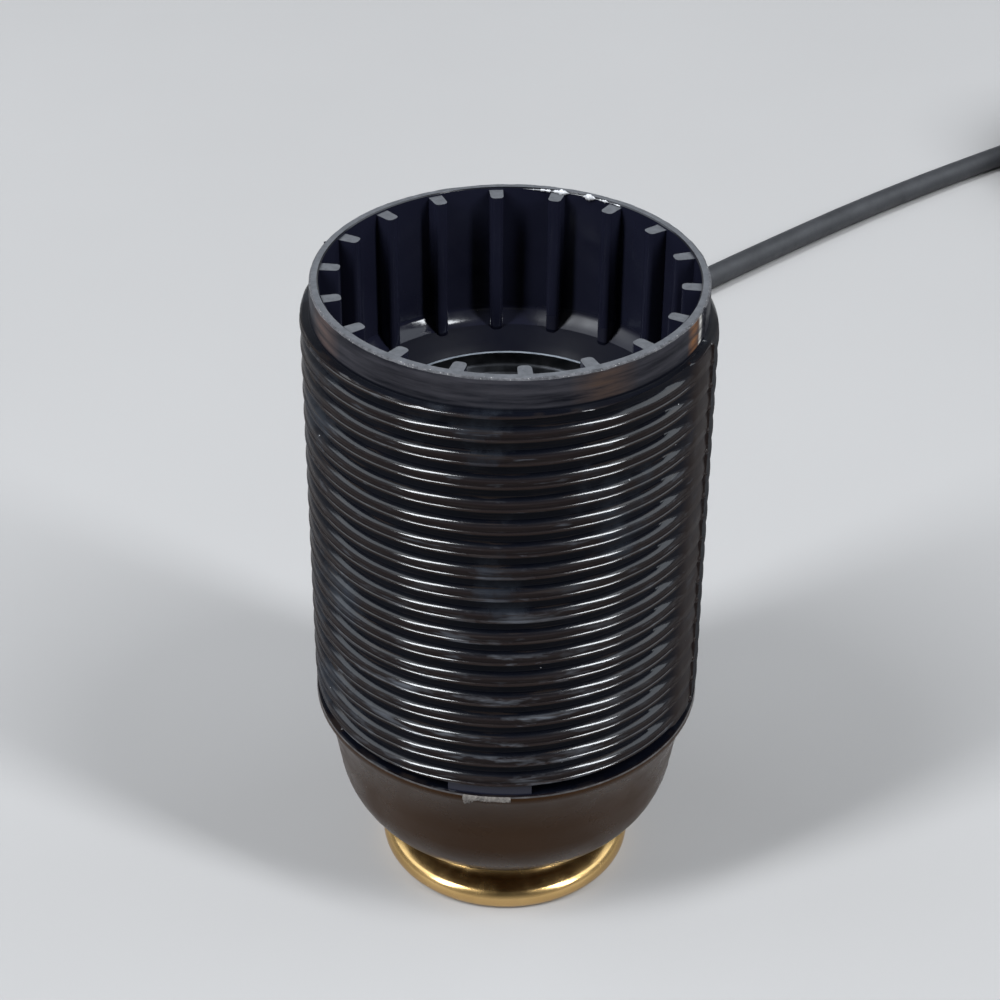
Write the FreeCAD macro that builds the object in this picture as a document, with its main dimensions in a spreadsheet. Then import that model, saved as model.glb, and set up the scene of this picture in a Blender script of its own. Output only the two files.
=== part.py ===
# Threaded lamp holder for screw-cap lamps: a moulded shell with a 40 x 2.5 barrel thread, a moulded
# cap on a turned brass foot, the ceramic contact block inside, and the lead with its plug.
#
# Frame: the origin is the centre of the foot's underside, +Z runs up the lamp's axis and the lead
# leaves towards +Y. Millimetres. Every size that can be set by itself is one cell of the sheet
# "Sizes"; sketches and features are bound to those cells.
import FreeCAD, Part
import math
import os
import re

import Sketcher
from FreeCAD import Placement, Rotation, Vector

SIZES = [
    # heights up the axis
    ("foot_height", 4.9, "underside of the foot to the underside of the cap"),
    ("cap_rise", 17.4, "underside of the cap to its rim"),
    ("rim_gap", 0.85, "open slot between the cap's rim and the shell"),
    ("shell_length", 45.95, "shell, from its lower end to its rim"),
    ("collar_height", 3.4, "plain collar above the barrel thread"),
    ("cup_depth", 15.0, "rim of the shell to the outer edge of the cup's floor"),
    ("floor_drop", 1.9, "fall of the cup's floor towards the sleeve"),
    ("floor_web", 2.6, "thickness of the cup's floor beside the sleeve"),
    ("spigot_rise", 4.7, "spigot of the cap above its rim, which the contact block lies on"),
    # barrel thread
    ("crest_radius", 19.9, "barrel thread, crest"),
    ("thread_depth", 0.75, "barrel thread, crest to root"),
    ("thread_pitch", 2.5, "barrel thread, pitch"),
    ("groove_width", 1.5, "barrel thread, width of the groove at the crest"),
    ("thread_start", 20.43, "height of the groove's middle on the shell's X axis"),
    ("land_half_angle", 12.0, "half of the plain land at each parting line, in degrees"),
    ("land_sink", 0.1, "how far the land's flats run in under the thread's root"),
    ("mould_turn", 15.3, "turn of the shell's parting plane, in degrees, clockwise from above"),
    # shell
    ("collar_radius", 18.9, "plain collar, outside"),
    ("cup_radius", 18.0, "cup, inside"),
    ("cup_round", 1.1, "round between the cup's wall and floor"),
    ("skirt_wall", 1.75, "lower skirt of the shell, under the thread's root"),
    ("tube_wall", 1.2, "wall of the inner tube that backs the sleeve"),
    ("sleeve_play", 0.15, "radial room between the sleeve's lip and the shell"),
    ("rib_count", 18.0, "ribs inside the cup"),
    ("rib_width", 1.35, "width of a rib"),
    ("rib_tip_radius", 16.15, "radius at the ribs' inner ends"),
    ("rib_drop", 0.3, "top of the ribs below the rim"),
    ("rib_offset_angle", 10.0, "first rib from the parting plane, in degrees"),
    # cap
    ("cap_base_radius", 10.8, "flat underside of the cap"),
    ("cap_round", 8.3, "round of the cap's lower side"),
    ("cap_bulge_radius", 17.77, "cap where its lower round ends"),
    ("cap_bulge_rise", 8.4, "height of that place above the cap's underside"),
    ("cap_neck_radius", 18.25, "cap where its rim begins to flare"),
    ("cap_neck_rise", 11.6, "height of that place above the cap's underside"),
    ("cap_flare", 23.0, "radius of the flare's curve"),
    ("cap_rim_radius", 19.87, "rim of the cap"),
    ("cap_rim_band", 0.6, "upright band at the cap's rim"),
    ("spigot_play", 0.3, "radial room between the spigot and the shell's skirt"),
    ("spigot_wall", 1.5, "wall of the spigot"),
    ("cavity_round", 6.5, "round at the bottom of the cavity"),
    ("cavity_round_rise", 9.2, "start of that round above the cap's underside"),
    ("cap_floor", 2.7, "thickness of the cap's floor"),
    ("floor_flat_radius", 10.2, "flat of the cap's floor"),
    ("stem_play", 0.05, "radial room round the foot's stem"),
    ("lug_half_angle", 12.2, "half of the stop lug on the cap's rim, in degrees"),
    ("lug_turn", 4.6, "middle of the lug from the front, in degrees, clockwise from above"),
    ("lug_setback", 0.35, "lug behind the edge of the rim"),
    # foot
    ("foot_base_radius", 12.8, "flat underside of the foot"),
    ("bead_round", 1.3, "round of the foot's bead"),
    ("bead_top_radius", 12.4, "upper end of the bead's round"),
    ("bead_height", 2.35, "height of that place"),
    ("ledge_radius", 11.4, "inner edge of the foot's ledge"),
    ("ledge_height", 2.7, "height of that edge"),
    ("cove_round", 1.6, "round of the foot's cove"),
    ("neck_radius", 10.3, "upper end of the cove"),
    ("neck_drop", 0.9, "upper end of the cove below the cap"),
    ("stem_radius", 6.5, "stem of the foot"),
    ("stem_rise", 6.5, "stem above the underside of the cap"),
    ("entry_radius", 4.46, "M10 x 1 entry thread, minor radius"),
    ("washer_thickness", 0.5, "lock washer"),
    ("washer_radius", 9.6, "lock washer, outside"),
    ("washer_notches", 12.0, "notches round the lock washer"),
    ("notch_width", 1.6, "width of a notch"),
    ("notch_depth", 1.1, "depth of a notch"),
    ("nut_flats", 17.0, "foot nut across flats"),
    ("nut_height", 2.5, "foot nut"),
    # contact block and contacts
    ("sheet", 0.3, "sheet of the screw sleeve"),
    ("sleeve_radius", 13.65, "screw sleeve, outside of its wall"),
    ("lip_radius", 13.8, "screw sleeve, outside of its lip"),
    ("lip_height", 1.2, "flare of the lip, below its top"),
    ("lip_band", 0.9, "upright band at the top of the lip"),
    ("sleeve_foot_radius", 13.25, "sleeve's drawn-in foot, outside"),
    ("sleeve_foot_height", 2.7, "top of that foot above the block"),
    ("sleeve_flange_bore", 9.5, "hole in the sleeve's bottom"),
    ("block_play", 0.3, "radial room between the block's flange and the shell's skirt"),
    ("block_flange", 3.5, "contact block, thickness of the flange"),
    ("block_radius", 12.3, "contact block, lower body"),
    ("block_height", 14.0, "contact block, overall"),
    ("block_flat", 9.4, "flats of the lower body from the axis"),
    ("recess_depth", 2.5, "recess for the contact leaf"),
    ("recess_half_width", 3.4, "half the width of that recess"),
    ("recess_back", 8.3, "recess from the axis, on the rivet's side"),
    ("recess_front", 5.2, "recess from the axis, on the other side"),
    ("pocket_ceiling", 5.8, "ceiling of the terminal pockets below the block's top"),
    ("pocket_half_width", 3.3, "half the width of a terminal pocket"),
    ("pocket_play", 0.1, "room behind a terminal"),
    ("terminal_near", 4.6, "inner face of a terminal from the axis"),
    ("terminal_far", 12.0, "outer face of a terminal from the axis"),
    ("terminal_half_width", 3.0, "half the width of a terminal"),
    ("terminal_height", 6.0, "terminal"),
    ("wire_place", 8.0, "wire hole from the axis"),
    ("wire_hole_radius", 1.1, "wire hole"),
    ("wire_hole_depth", 3.6, "wire hole"),
    ("terminal_screw_rise", 1.9, "terminal screw above the terminal's underside"),
    ("terminal_screw_radius", 1.45, "shank of the terminal screw"),
    ("terminal_screw_reach", 2.8, "shank inside the terminal"),
    ("terminal_head_radius", 2.4, "head of the terminal screw"),
    ("terminal_head", 1.4, "height of that head"),
    ("thread_play", 0.05, "radial room round a screw's shank"),
    ("slot_width", 0.7, "screwdriver slot"),
    ("slot_depth", 0.8, "screwdriver slot"),
    ("rivet_radius", 1.0, "shank of the rivets"),
    ("rivet_play", 0.05, "radial room round a rivet"),
    ("rivet_head_radius", 1.5, "head of the rivets"),
    ("rivet_head", 0.7, "height of that head"),
    ("leaf_rivet_place", 5.9, "rivet of the contact leaf from the axis"),
    ("neutral_rivet_place", 10.7, "rivet of the sleeve's terminal from the axis"),
    ("sleeve_rivet_place", 11.2, "rivets of the sleeve from the axis"),
    ("rivet_bite", 2.0, "rivet inside a terminal"),
    ("leaf_thickness", 0.4, "contact leaf"),
    ("leaf_half_width", 2.2, "half the width of the contact leaf"),
    ("leaf_back", 8.0, "end of the leaf's foot from the axis"),
    ("leaf_bend", 4.0, "lower bend of the leaf from the axis"),
    ("leaf_crook", 2.6, "upper bend of the leaf from the axis"),
    ("leaf_front", 2.6, "free end of the leaf beyond the axis"),
    ("leaf_rise", 3.2, "free end of the leaf above its foot"),
    ("button_radius", 2.2, "contact button"),
    ("button_height", 0.9, "contact button above the leaf"),
    ("button_edge", 0.4, "edge of the button"),
    ("button_shank_radius", 0.85, "shank of the contact button"),
    ("button_tail_radius", 1.35, "closed end of that shank"),
    ("button_tail", 0.5, "height of the closed end"),
    # outlet, clamp and cores
    ("outlet_rise", 8.1, "axis of the lead's outlet above the cap's underside"),
    ("outlet_radius", 3.2, "outlet hole"),
    ("outlet_play", 0.1, "radial room round the relief's neck"),
    ("cord_radius", 1.7, "lead"),
    ("cord_play", 0.05, "radial room round the lead"),
    ("relief_flange_radius", 4.0, "inner flange of the strain relief"),
    ("relief_flange", 0.9, "thickness of that flange"),
    ("relief_flange_gap", 0.7, "flange clear of the cavity's wall"),
    ("relief_collar_radius", 4.4, "collar of the strain relief"),
    ("relief_collar", 1.6, "thickness of that collar"),
    ("relief_root_radius", 3.4, "thick end of the taper"),
    ("relief_tip_radius", 2.35, "thin end of the taper"),
    ("relief_end", 40.0, "end of the strain relief from the axis"),
    ("jacket_end", 8.8, "end of the lead's jacket from the axis"),
    ("clamp_near", 9.65, "near side of the lead clamp from the axis"),
    ("clamp_length", 2.8, "lead clamp, along the lead"),
    ("clamp_half_width", 5.4, "half the width of the lead clamp"),
    ("clamp_gap", 0.4, "pedestal and saddle from the lead's axis"),
    ("clamp_height", 2.4, "top of the saddle above the lead's axis"),
    ("pedestal_sink", 0.6, "pedestal sunk into the cap's floor"),
    ("clamp_screw_place", 3.7, "clamp screws from the middle"),
    ("clamp_screw_radius", 0.95, "shank of a clamp screw"),
    ("clamp_screw_length", 6.2, "shank of a clamp screw"),
    ("clamp_head_radius", 1.6, "head of a clamp screw"),
    ("clamp_head", 0.9, "height of that head"),
    ("core_radius", 0.85, "insulated core"),
    # coil and plug
    ("coil_place_x", 113.6, "middle of the coiled lead"),
    ("coil_place_y", 159.1, "middle of the coiled lead"),
    ("coil_radius", 26.9, "coiled lead, outside"),
    ("coil_bore", 12.9, "coiled lead, inside"),
    ("coil_height", 14.6, "coiled lead"),
    ("coil_round", 1.7, "rounded edges of the coiled lead"),
    ("plug_clear", 1.3, "axis of the plug beside the coil"),
    ("plug_place_y", 137.0, "lead's end of the plug's relief"),
    ("plug_relief", 20.0, "plug's relief, along the lead"),
    ("plug_relief_radius", 4.4, "thick end of the plug's relief"),
    ("plug_half_thickness", 6.85, "half the thickness of the plug"),
    ("plug_length", 35.0, "body of the plug"),
    ("plug_half_width", 17.6, "half the width of the plug's face"),
    ("plug_tail_half_width", 6.5, "half the width of the plug's tail"),
    ("plug_shoulder", 14.0, "straight sides of the plug, from its face"),
    ("plug_edge", 1.6, "rounded edges of the plug"),
    ("pin_place", 9.3, "pins from the plug's axis"),
    ("pin_radius", 2.0, "pin of the plug"),
    ("pin_length", 19.0, "pin outside the plug"),
    ("pin_round", 1.0, "chamfered end of a pin"),
]

# Heights that several pieces share, as formulas of the sizes.
CAP_RIM = "foot_height + cap_rise"
SHELL_END = f"{CAP_RIM} + rim_gap"
RIM = f"{SHELL_END} + shell_length"
THREAD_TOP = f"{RIM} - collar_height"
CUP_FLOOR = f"{RIM} - cup_depth"
SLEEVE_TOP = f"{CUP_FLOOR} - floor_drop"
SPIGOT_TOP = f"{CAP_RIM} + spigot_rise"
BLOCK_TOP = f"{SPIGOT_TOP} + block_flange"
BLOCK_FOOT = f"{BLOCK_TOP} - block_height"
FLOOR_TOP = "foot_height + cap_floor"
WASHER_TOP = f"{FLOOR_TOP} + washer_thickness"
STEM_TOP = "foot_height + stem_rise"
LEAF_SEAT = f"{BLOCK_TOP} - recess_depth"
LEAF_TOP = f"{LEAF_SEAT} + leaf_rise + leaf_thickness"
TERMINAL_TOP = f"{BLOCK_TOP} - pocket_ceiling"
TERMINAL_FOOT = f"{TERMINAL_TOP} - terminal_height"
OUTLET = "foot_height + outlet_rise"
SLEEVE_BORE = "lip_radius + sleeve_play"
ROOT_RADIUS = "crest_radius - thread_depth"
SKIRT_BORE = f"({ROOT_RADIUS} - skirt_wall)"
SPIGOT_RADIUS = f"({SKIRT_BORE} - spigot_play)"
CAVITY_RADIUS = f"({SPIGOT_RADIUS} - spigot_wall)"
BLOCK_FLANGE_RADIUS = f"({SKIRT_BORE} - block_play)"
CLAMP_MIDDLE = "clamp_near + clamp_length / 2"

# The lead lies behind the holder and swings to the right: out of the relief, down to the surface
# it lies on, and along it to the coil. (x, y, height of the middle of the lead)
CORD_ROUTE = [
    (0.1, 50.0, 12.2),
    (0.3, 61.0, 6.9),
    (0.9, 73.0, 2.2),
    (3.6, 87.0, 1.75),
    (10.6, 101.5, 1.7),
    (22.4, 114.6, 1.7),
    (38.6, 129.6, 1.7),
    (58.4, 147.2, 1.7),
    (79.6, 163.6, 1.7),
    (98.0, 176.6, 1.7),
]
PLUG_AXIS = "(coil_place_x + coil_radius + plug_clear)"
LEAD_ROUTE = [
    (f"{PLUG_AXIS} - 3.0", "plug_place_y + 24.0", "coil_height - 1.8"),
    (f"{PLUG_AXIS} - 0.9", "plug_place_y + 15.5", "coil_height - 3.2"),
    (f"{PLUG_AXIS} - 0.1", "plug_place_y + 7.8", "plug_half_thickness + 1.2"),
    (PLUG_AXIS, "plug_place_y", "plug_half_thickness"),
]
# A core of the lead, from the jacket's end to its terminal: the brown one as given, the blue one
# mirrored. (distance from the middle plane, y, z)
CORE_ROUTE = [
    ("core_radius", "jacket_end", OUTLET),
    ("core_radius + 0.45", "jacket_end - 2.8", f"{OUTLET} + 0.1"),
    ("0.6 * wire_place", "0.2 * jacket_end", f"{OUTLET} + 0.5"),
    ("wire_place", "0", f"{OUTLET} + 2.4"),
    ("wire_place", "0", f"{TERMINAL_FOOT} + 0.6 * wire_hole_depth"),
]

doc = FreeCAD.newDocument("LampHolder")
sheet = doc.addObject("Spreadsheet::Sheet", "Sizes")
for row, (name, value, meaning) in enumerate(SIZES, start=1):
    sheet.set(f"A{row}", meaning)
    sheet.set(f"B{row}", str(value))
    sheet.setAlias(f"B{row}", name)
doc.recompute()

SIZE_NAMES = re.compile(r"\b(" + "|".join(name for name, value, meaning in SIZES) + r")\b")
pieces = {}


def formula(text):
    """The expression for a text of sizes, with each size read from its cell."""
    return SIZE_NAMES.sub(lambda found: "Sizes." + found.group(), text)


def worth(text):
    """The number that a text of sizes comes to."""
    return float(sheet.evalExpression(formula(text)))


def bind(feature, **texts):
    """Tie properties of a feature to texts of sizes."""
    for key, text in texts.items():
        feature.setExpression(key, formula(text))


def new_body(label):
    body = doc.addObject("PartDesign::Body", label)
    body.Label = label
    pieces[label] = body
    return body


def new_sketch(body, name, role, lift=None, rise=None):
    """A sketch on one of the body's planes: lifted off it, or with its origin raised on it."""
    sketch = body.newObject("Sketcher::SketchObject", f"{body.Name}_{name}")
    plane = next(f for f in body.Origin.OriginFeatures if f.Role == role)
    sketch.AttachmentSupport = [(plane, "")]
    sketch.MapMode = "FlatFace"
    if lift:
        sketch.setExpression("AttachmentOffset.Base.z", formula(lift))
    if rise:
        sketch.setExpression("AttachmentOffset.Base.y", formula(rise))
    return sketch


def place_point(sketch, edge, end, x_text, y_text):
    """Hold one end of an edge at a place given by two texts of sizes."""
    for kind, axis, text in (("DistanceX", -2, x_text), ("DistanceY", -1, y_text)):
        if text == "0":
            sketch.addConstraint(Sketcher.Constraint("PointOnObject", edge, end, axis))
            continue
        index = sketch.addConstraint(Sketcher.Constraint(kind, -1, 1, edge, end, worth(text)))
        sketch.setExpression(f"Constraints[{index}]", formula(text))


def on_circle(radius, angle):
    """The texts of a place on a circle round the axis; the angle's text carries its unit."""
    return f"({radius}) * cos({angle})", f"({radius}) * sin({angle})"


def arc_between(first, last, side, radius):
    """The short arc between two points, anticlockwise, that bulges to the left (1) or right (-1)."""
    chord = last - first
    half = chord.Length / 2
    outward = Vector(-chord.y, chord.x, 0).normalize() * side
    middle = first + chord * 0.5 + outward * (radius - math.sqrt(max(radius**2 - half**2, 0)))
    return Part.Arc(last, middle, first) if side > 0 else Part.Arc(first, middle, last)


def lay_chords(sketch, arc, begin, finish, count):
    """Equal chords along an arc of the sketch; returns the first one's start and the last one's end."""
    steps = arc.toShape().discretize(count + 1)
    if begin[1] == 2:
        steps.reverse()
    chords = [sketch.addGeometry(Part.LineSegment(*pair)) for pair in zip(steps, steps[1:])]
    sketch.addConstraint(Sketcher.Constraint("Coincident", *begin, chords[0], 1))
    sketch.addConstraint(Sketcher.Constraint("Coincident", *finish, chords[-1], 2))
    for before, after in zip(chords, chords[1:]):
        sketch.addConstraint(Sketcher.Constraint("Coincident", before, 2, after, 1))
        sketch.addConstraint(Sketcher.Constraint("PointOnObject", after, 1, begin[0]))
        sketch.addConstraint(Sketcher.Constraint("Equal", before, after))
    return (chords[0], 1), (chords[-1], 2)


def outline(sketch, corners, rounds=None):
    """A closed loop through corners given as texts of sizes.

    rounds gives, by the number of its first corner, the side (1 left, -1 right) and the radius of
    each stretch that is an arc. A third entry lays that many equal chords in the arc instead.
    """
    rounds = rounds or {}
    points = [Vector(worth(x), worth(y), 0) for x, y in corners]
    starts = []
    ends = []
    for number, first in enumerate(points):
        last = points[(number + 1) % len(points)]
        if number not in rounds:
            edge = sketch.addGeometry(Part.LineSegment(first, last))
            starts.append((edge, 1))
            ends.append((edge, 2))
            continue
        side, radius, *chords = rounds[number]
        arc = arc_between(first, last, side, worth(radius))
        edge = sketch.addGeometry(arc, bool(chords))
        begin, finish = (edge, 2 if side > 0 else 1), (edge, 1 if side > 0 else 2)
        index = sketch.addConstraint(Sketcher.Constraint("Radius", edge, worth(radius)))
        sketch.setExpression(f"Constraints[{index}]", formula(radius))
        if chords:
            begin, finish = lay_chords(sketch, arc, begin, finish, chords[0])
        starts.append(begin)
        ends.append(finish)
    for number, (edge, end) in enumerate(starts):
        sketch.addConstraint(Sketcher.Constraint("Coincident", *ends[number - 1], edge, end))
        place_point(sketch, edge, end, *corners[number])


def circle(sketch, x_text, y_text, radius):
    """A circle held by its middle and its radius."""
    middle = Vector(worth(x_text), worth(y_text), 0)
    edge = sketch.addGeometry(Part.Circle(middle, Vector(0, 0, 1), worth(radius)))
    index = sketch.addConstraint(Sketcher.Constraint("Radius", edge, worth(radius)))
    sketch.setExpression(f"Constraints[{index}]", formula(radius))
    place_point(sketch, edge, 3, x_text, y_text)


def rectangle(sketch, left, low, right, high):
    outline(sketch, [(left, low), (right, low), (right, high), (left, high)])


def revolve(body, corners, rounds=None, role="XZ_Plane", axis="V_Axis", rise=None, name="section"):
    sketch = new_sketch(body, name, role, rise=rise)
    outline(sketch, corners, rounds)
    turned = body.newObject("PartDesign::Revolution", f"{body.Name}_turned")
    turned.Profile = sketch
    turned.ReferenceAxis = (sketch, [axis])
    turned.Angle = 360
    return turned


def pad(body, sketch, length, middle=False, back=False):
    feature = body.newObject("PartDesign::Pad", f"{sketch.Name}_pad")
    feature.Profile = sketch
    feature.SideType = "Symmetric" if middle else "One side"
    feature.Reversed = back
    bind(feature, Length=length)
    return feature


def pocket(body, sketch, length, back=False):
    """Cut a sketch into the body, down its normal, or up it where back is true."""
    feature = body.newObject("PartDesign::Pocket", f"{sketch.Name}_cut")
    feature.Profile = sketch
    feature.SideType = "One side"
    feature.Reversed = back
    bind(feature, Length=length)
    return feature


def ring_of(body, feature, count):
    """Repeat a feature round the axis."""
    pattern = body.newObject("PartDesign::PolarPattern", f"{feature.Name}_ring")
    pattern.Originals = [feature]
    pattern.Axis = (feature.Profile[0], ["N_Axis"])
    pattern.Angle = 360
    bind(pattern, Occurrences=count)
    body.Tip = pattern
    return pattern


def mirrored_pair(label, body, normal, across="0"):
    """One node of two like pieces, the second mirrored in a plane that is across from the axis."""
    del pieces[body.Label]
    body.Label = f"{label}_one"
    other = doc.addObject("Part::Mirroring", f"{label}_other")
    other.Source = body
    other.Normal = normal
    other.setExpression("Base.x", formula(across))
    pair = doc.addObject("Part::Compound", label)
    pair.Label = label
    pair.Links = [body, other]
    pieces[label] = pair


def tube(label, route, radius, chords=0):
    """A round bar along straight runs joined by arcs as large as the runs allow, or by chords."""
    points = [Vector(*point) for point in route]
    edges = []
    radii = []
    start = points[0]
    for before, corner, after in zip(points, points[1:], points[2:]):
        inward = (before - corner).normalize()
        outward = (after - corner).normalize()
        turn = math.pi - inward.getAngle(outward)
        shorter = min(corner.distanceToPoint(before), corner.distanceToPoint(after))
        reach = 0.45 * shorter
        radii.append(reach / math.tan(turn / 2))
        bisector = (inward + outward).normalize()
        first = corner + inward * reach
        last = corner + outward * reach
        middle = corner + bisector * (radii[-1] / math.cos(turn / 2) - radii[-1])
        edges.append(Part.LineSegment(start, first).toShape())
        arc = Part.Arc(first, middle, last).toShape()
        edges += Part.makePolygon(arc.discretize(chords + 1)).Edges if chords else [arc]
        start = last
    edges.append(Part.LineSegment(start, points[-1]).toShape())
    path = Part.Wire(edges)
    ring = Part.Wire(Part.makeCircle(radius, points[0], points[1] - points[0]))
    solid = path.makePipeShell([ring], True, False, 1 if chords else 0)
    share = solid.Volume / (math.pi * radius**2 * path.Length)
    print(f"{label}: length {path.Length:.1f}, smallest radius {min(radii):.1f}, volume share {share:.4f}")
    feature = doc.addObject("Part::Feature", label)
    feature.Label = label
    feature.Shape = solid
    pieces[label] = feature


def outer_shell():
    """The black moulded shell: barrel thread outside, ribbed cup and backed sleeve inside."""
    body = new_body("outer_shell")
    body.Placement = Placement(Vector(), Rotation(Vector(0, 0, 1), -1))
    bind(body, **{"Placement.Rotation.Angle": "-mould_turn"})
    tube_radius = f"{SLEEVE_BORE} + tube_wall"
    revolve(
        body,
        [
            (SKIRT_BORE, SHELL_END),
            ("crest_radius", SHELL_END),
            ("crest_radius", THREAD_TOP),
            ("collar_radius", THREAD_TOP),
            ("collar_radius", RIM),
            ("cup_radius", RIM),
            ("cup_radius", f"{CUP_FLOOR} + cup_round"),
            ("cup_radius - cup_round", CUP_FLOOR),
            (SLEEVE_BORE, SLEEVE_TOP),
            (SLEEVE_BORE, BLOCK_TOP),
            (tube_radius, BLOCK_TOP),
            (tube_radius, f"{SLEEVE_TOP} - floor_web"),
            (SKIRT_BORE, f"{SLEEVE_TOP} - floor_web"),
        ],
        {6: (1, "cup_round", 2)},
    )

    groove = new_sketch(body, "groove", "XZ_Plane")
    beyond = "crest_radius + 0.5 * thread_depth"
    outline(
        groove,
        [
            (ROOT_RADIUS, "thread_start"),
            (beyond, "thread_start - 0.75 * groove_width"),
            (beyond, "thread_start + 0.75 * groove_width"),
        ],
    )
    thread = body.newObject("PartDesign::SubtractiveHelix", "outer_shell_thread")
    thread.Profile = groove
    thread.ReferenceAxis = (groove, ["V_Axis"])
    thread.Mode = "pitch-height-angle"
    thread.Refine = False
    bind(thread, Pitch="thread_pitch", Height=f"{THREAD_TOP} + groove_width - thread_start")

    # At the parting lines the groove runs out on flats, which leave a plain land between them.
    lands = new_sketch(body, "lands", "XY_Plane", lift=SHELL_END)
    sunk = f"{ROOT_RADIUS} - land_sink"
    deep = f"{ROOT_RADIUS} - 0.5 * skirt_wall"
    flat = f"(land_half_angle * 1 deg + acos(({sunk}) / crest_radius))"
    for middle in ("0 deg", "180 deg"):
        outline(
            lands,
            [
                on_circle(sunk, f"{middle} - {flat}"),
                on_circle("crest_radius", f"{middle} - land_half_angle * 1 deg"),
                on_circle("crest_radius", f"{middle} + land_half_angle * 1 deg"),
                on_circle(sunk, f"{middle} + {flat}"),
                on_circle(deep, f"{middle} + {flat}"),
                on_circle(deep, f"{middle} - {flat}"),
            ],
            {1: (-1, "crest_radius"), 4: (1, deep)},
        )
    pad(body, lands, f"{THREAD_TOP} - ({SHELL_END})")

    rib = new_sketch(body, "rib", "XY_Plane", lift=f"{SLEEVE_TOP} - 0.5 * floor_web")
    rib.setExpression("AttachmentOffset.Rotation.Angle", formula("rib_offset_angle"))
    rib_root = "0.5 * (cup_radius + collar_radius)"
    outline(
        rib,
        [
            ("rib_tip_radius + 0.32 * rib_width", "-0.5 * rib_width"),
            (rib_root, "-0.5 * rib_width"),
            (rib_root, "0.5 * rib_width"),
            ("rib_tip_radius + 0.32 * rib_width", "0.5 * rib_width"),
        ],
        {3: (-1, "0.55 * rib_width")},
    )
    rib_pad = pad(body, rib, f"{RIM} - rib_drop - ({SLEEVE_TOP}) + 0.5 * floor_web")
    ring_of(body, rib_pad, "rib_count")


def cap_dome():
    """The moulded cap: a bowl with a spigot for shell and block, the clamp's pedestal and the outlet."""
    body = new_body("dome_cap")
    bulge = "foot_height + cap_bulge_rise"
    bore = "stem_radius + stem_play"
    revolve(
        body,
        [
            (bore, "foot_height"),
            ("cap_base_radius", "foot_height"),
            ("cap_bulge_radius", bulge),
            ("cap_neck_radius", "foot_height + cap_neck_rise"),
            ("cap_rim_radius", f"{CAP_RIM} - cap_rim_band"),
            ("cap_rim_radius", CAP_RIM),
            (SPIGOT_RADIUS, CAP_RIM),
            (SPIGOT_RADIUS, SPIGOT_TOP),
            (CAVITY_RADIUS, SPIGOT_TOP),
            (CAVITY_RADIUS, "foot_height + cavity_round_rise"),
            ("floor_flat_radius", FLOOR_TOP),
            (bore, FLOOR_TOP),
        ],
        {1: (-1, "cap_round", 5), 3: (-1, "cap_flare", 2), 9: (1, "cavity_round", 2)},
    )

    pedestal = new_sketch(body, "pedestal", "XY_Plane", lift=f"{FLOOR_TOP} - pedestal_sink")
    rectangle(pedestal, "-clamp_half_width", "clamp_near", "clamp_half_width", "clamp_near + clamp_length")
    pad(body, pedestal, f"{OUTLET} - clamp_gap - ({FLOOR_TOP}) + pedestal_sink")
    screws = new_sketch(body, "screw_holes", "XY_Plane", lift=f"{OUTLET} - clamp_gap")
    circle(screws, "clamp_screw_place", CLAMP_MIDDLE, "clamp_screw_radius + thread_play")
    circle(screws, "-clamp_screw_place", CLAMP_MIDDLE, "clamp_screw_radius + thread_play")
    pocket(body, screws, "clamp_screw_length - clamp_height - clamp_gap + 0.4")

    outlet = new_sketch(body, "outlet", "XZ_Plane", lift="-(clamp_near + clamp_length + 0.5)")
    circle(outlet, "0", OUTLET, "outlet_radius")
    pocket(body, outlet, "cap_rim_radius")

    groove = new_sketch(body, "cord_groove", "XZ_Plane")
    circle(groove, "0", OUTLET, "cord_radius + cord_play")
    pocket(body, groove, "clamp_near + clamp_length + 0.5")

    lug = new_sketch(body, "lug", "XY_Plane", lift=CAP_RIM)
    inner = f"{SPIGOT_RADIUS} - 0.5"
    outer = "cap_rim_radius - lug_setback"
    low = "(-90 - lug_turn - lug_half_angle) * 1 deg"
    high = "(-90 - lug_turn + lug_half_angle) * 1 deg"
    outline(
        lug,
        [on_circle(inner, low), on_circle(outer, low), on_circle(outer, high), on_circle(inner, high)],
        {1: (-1, outer), 3: (1, inner)},
    )
    pad(body, lug, "rim_gap")


def brass_foot():
    """The turned foot: a rounded bead on the surface, a cove up to the cap, and the M10 stem."""
    body = new_body("brass_foot")
    revolve(
        body,
        [
            ("entry_radius", "0"),
            ("foot_base_radius", "0"),
            ("bead_top_radius", "bead_height"),
            ("ledge_radius", "ledge_height"),
            ("neck_radius", "foot_height - neck_drop"),
            ("neck_radius", "foot_height"),
            ("stem_radius", "foot_height"),
            ("stem_radius", STEM_TOP),
            ("entry_radius", STEM_TOP),
        ],
        {1: (-1, "bead_round", 4), 3: (1, "cove_round", 2)},
    )


def lock_washer():
    body = new_body("lock_washer")
    blank = new_sketch(body, "blank", "XY_Plane", lift=FLOOR_TOP)
    circle(blank, "0", "0", "washer_radius")
    circle(blank, "0", "0", "stem_radius + stem_play")
    pad(body, blank, "washer_thickness")
    notch = new_sketch(body, "notch", "XY_Plane", lift=WASHER_TOP)
    rectangle(
        notch, "washer_radius - notch_depth", "-0.5 * notch_width", "washer_radius + 1", "0.5 * notch_width"
    )
    ring_of(body, pocket(body, notch, "washer_thickness"), "washer_notches")


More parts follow.
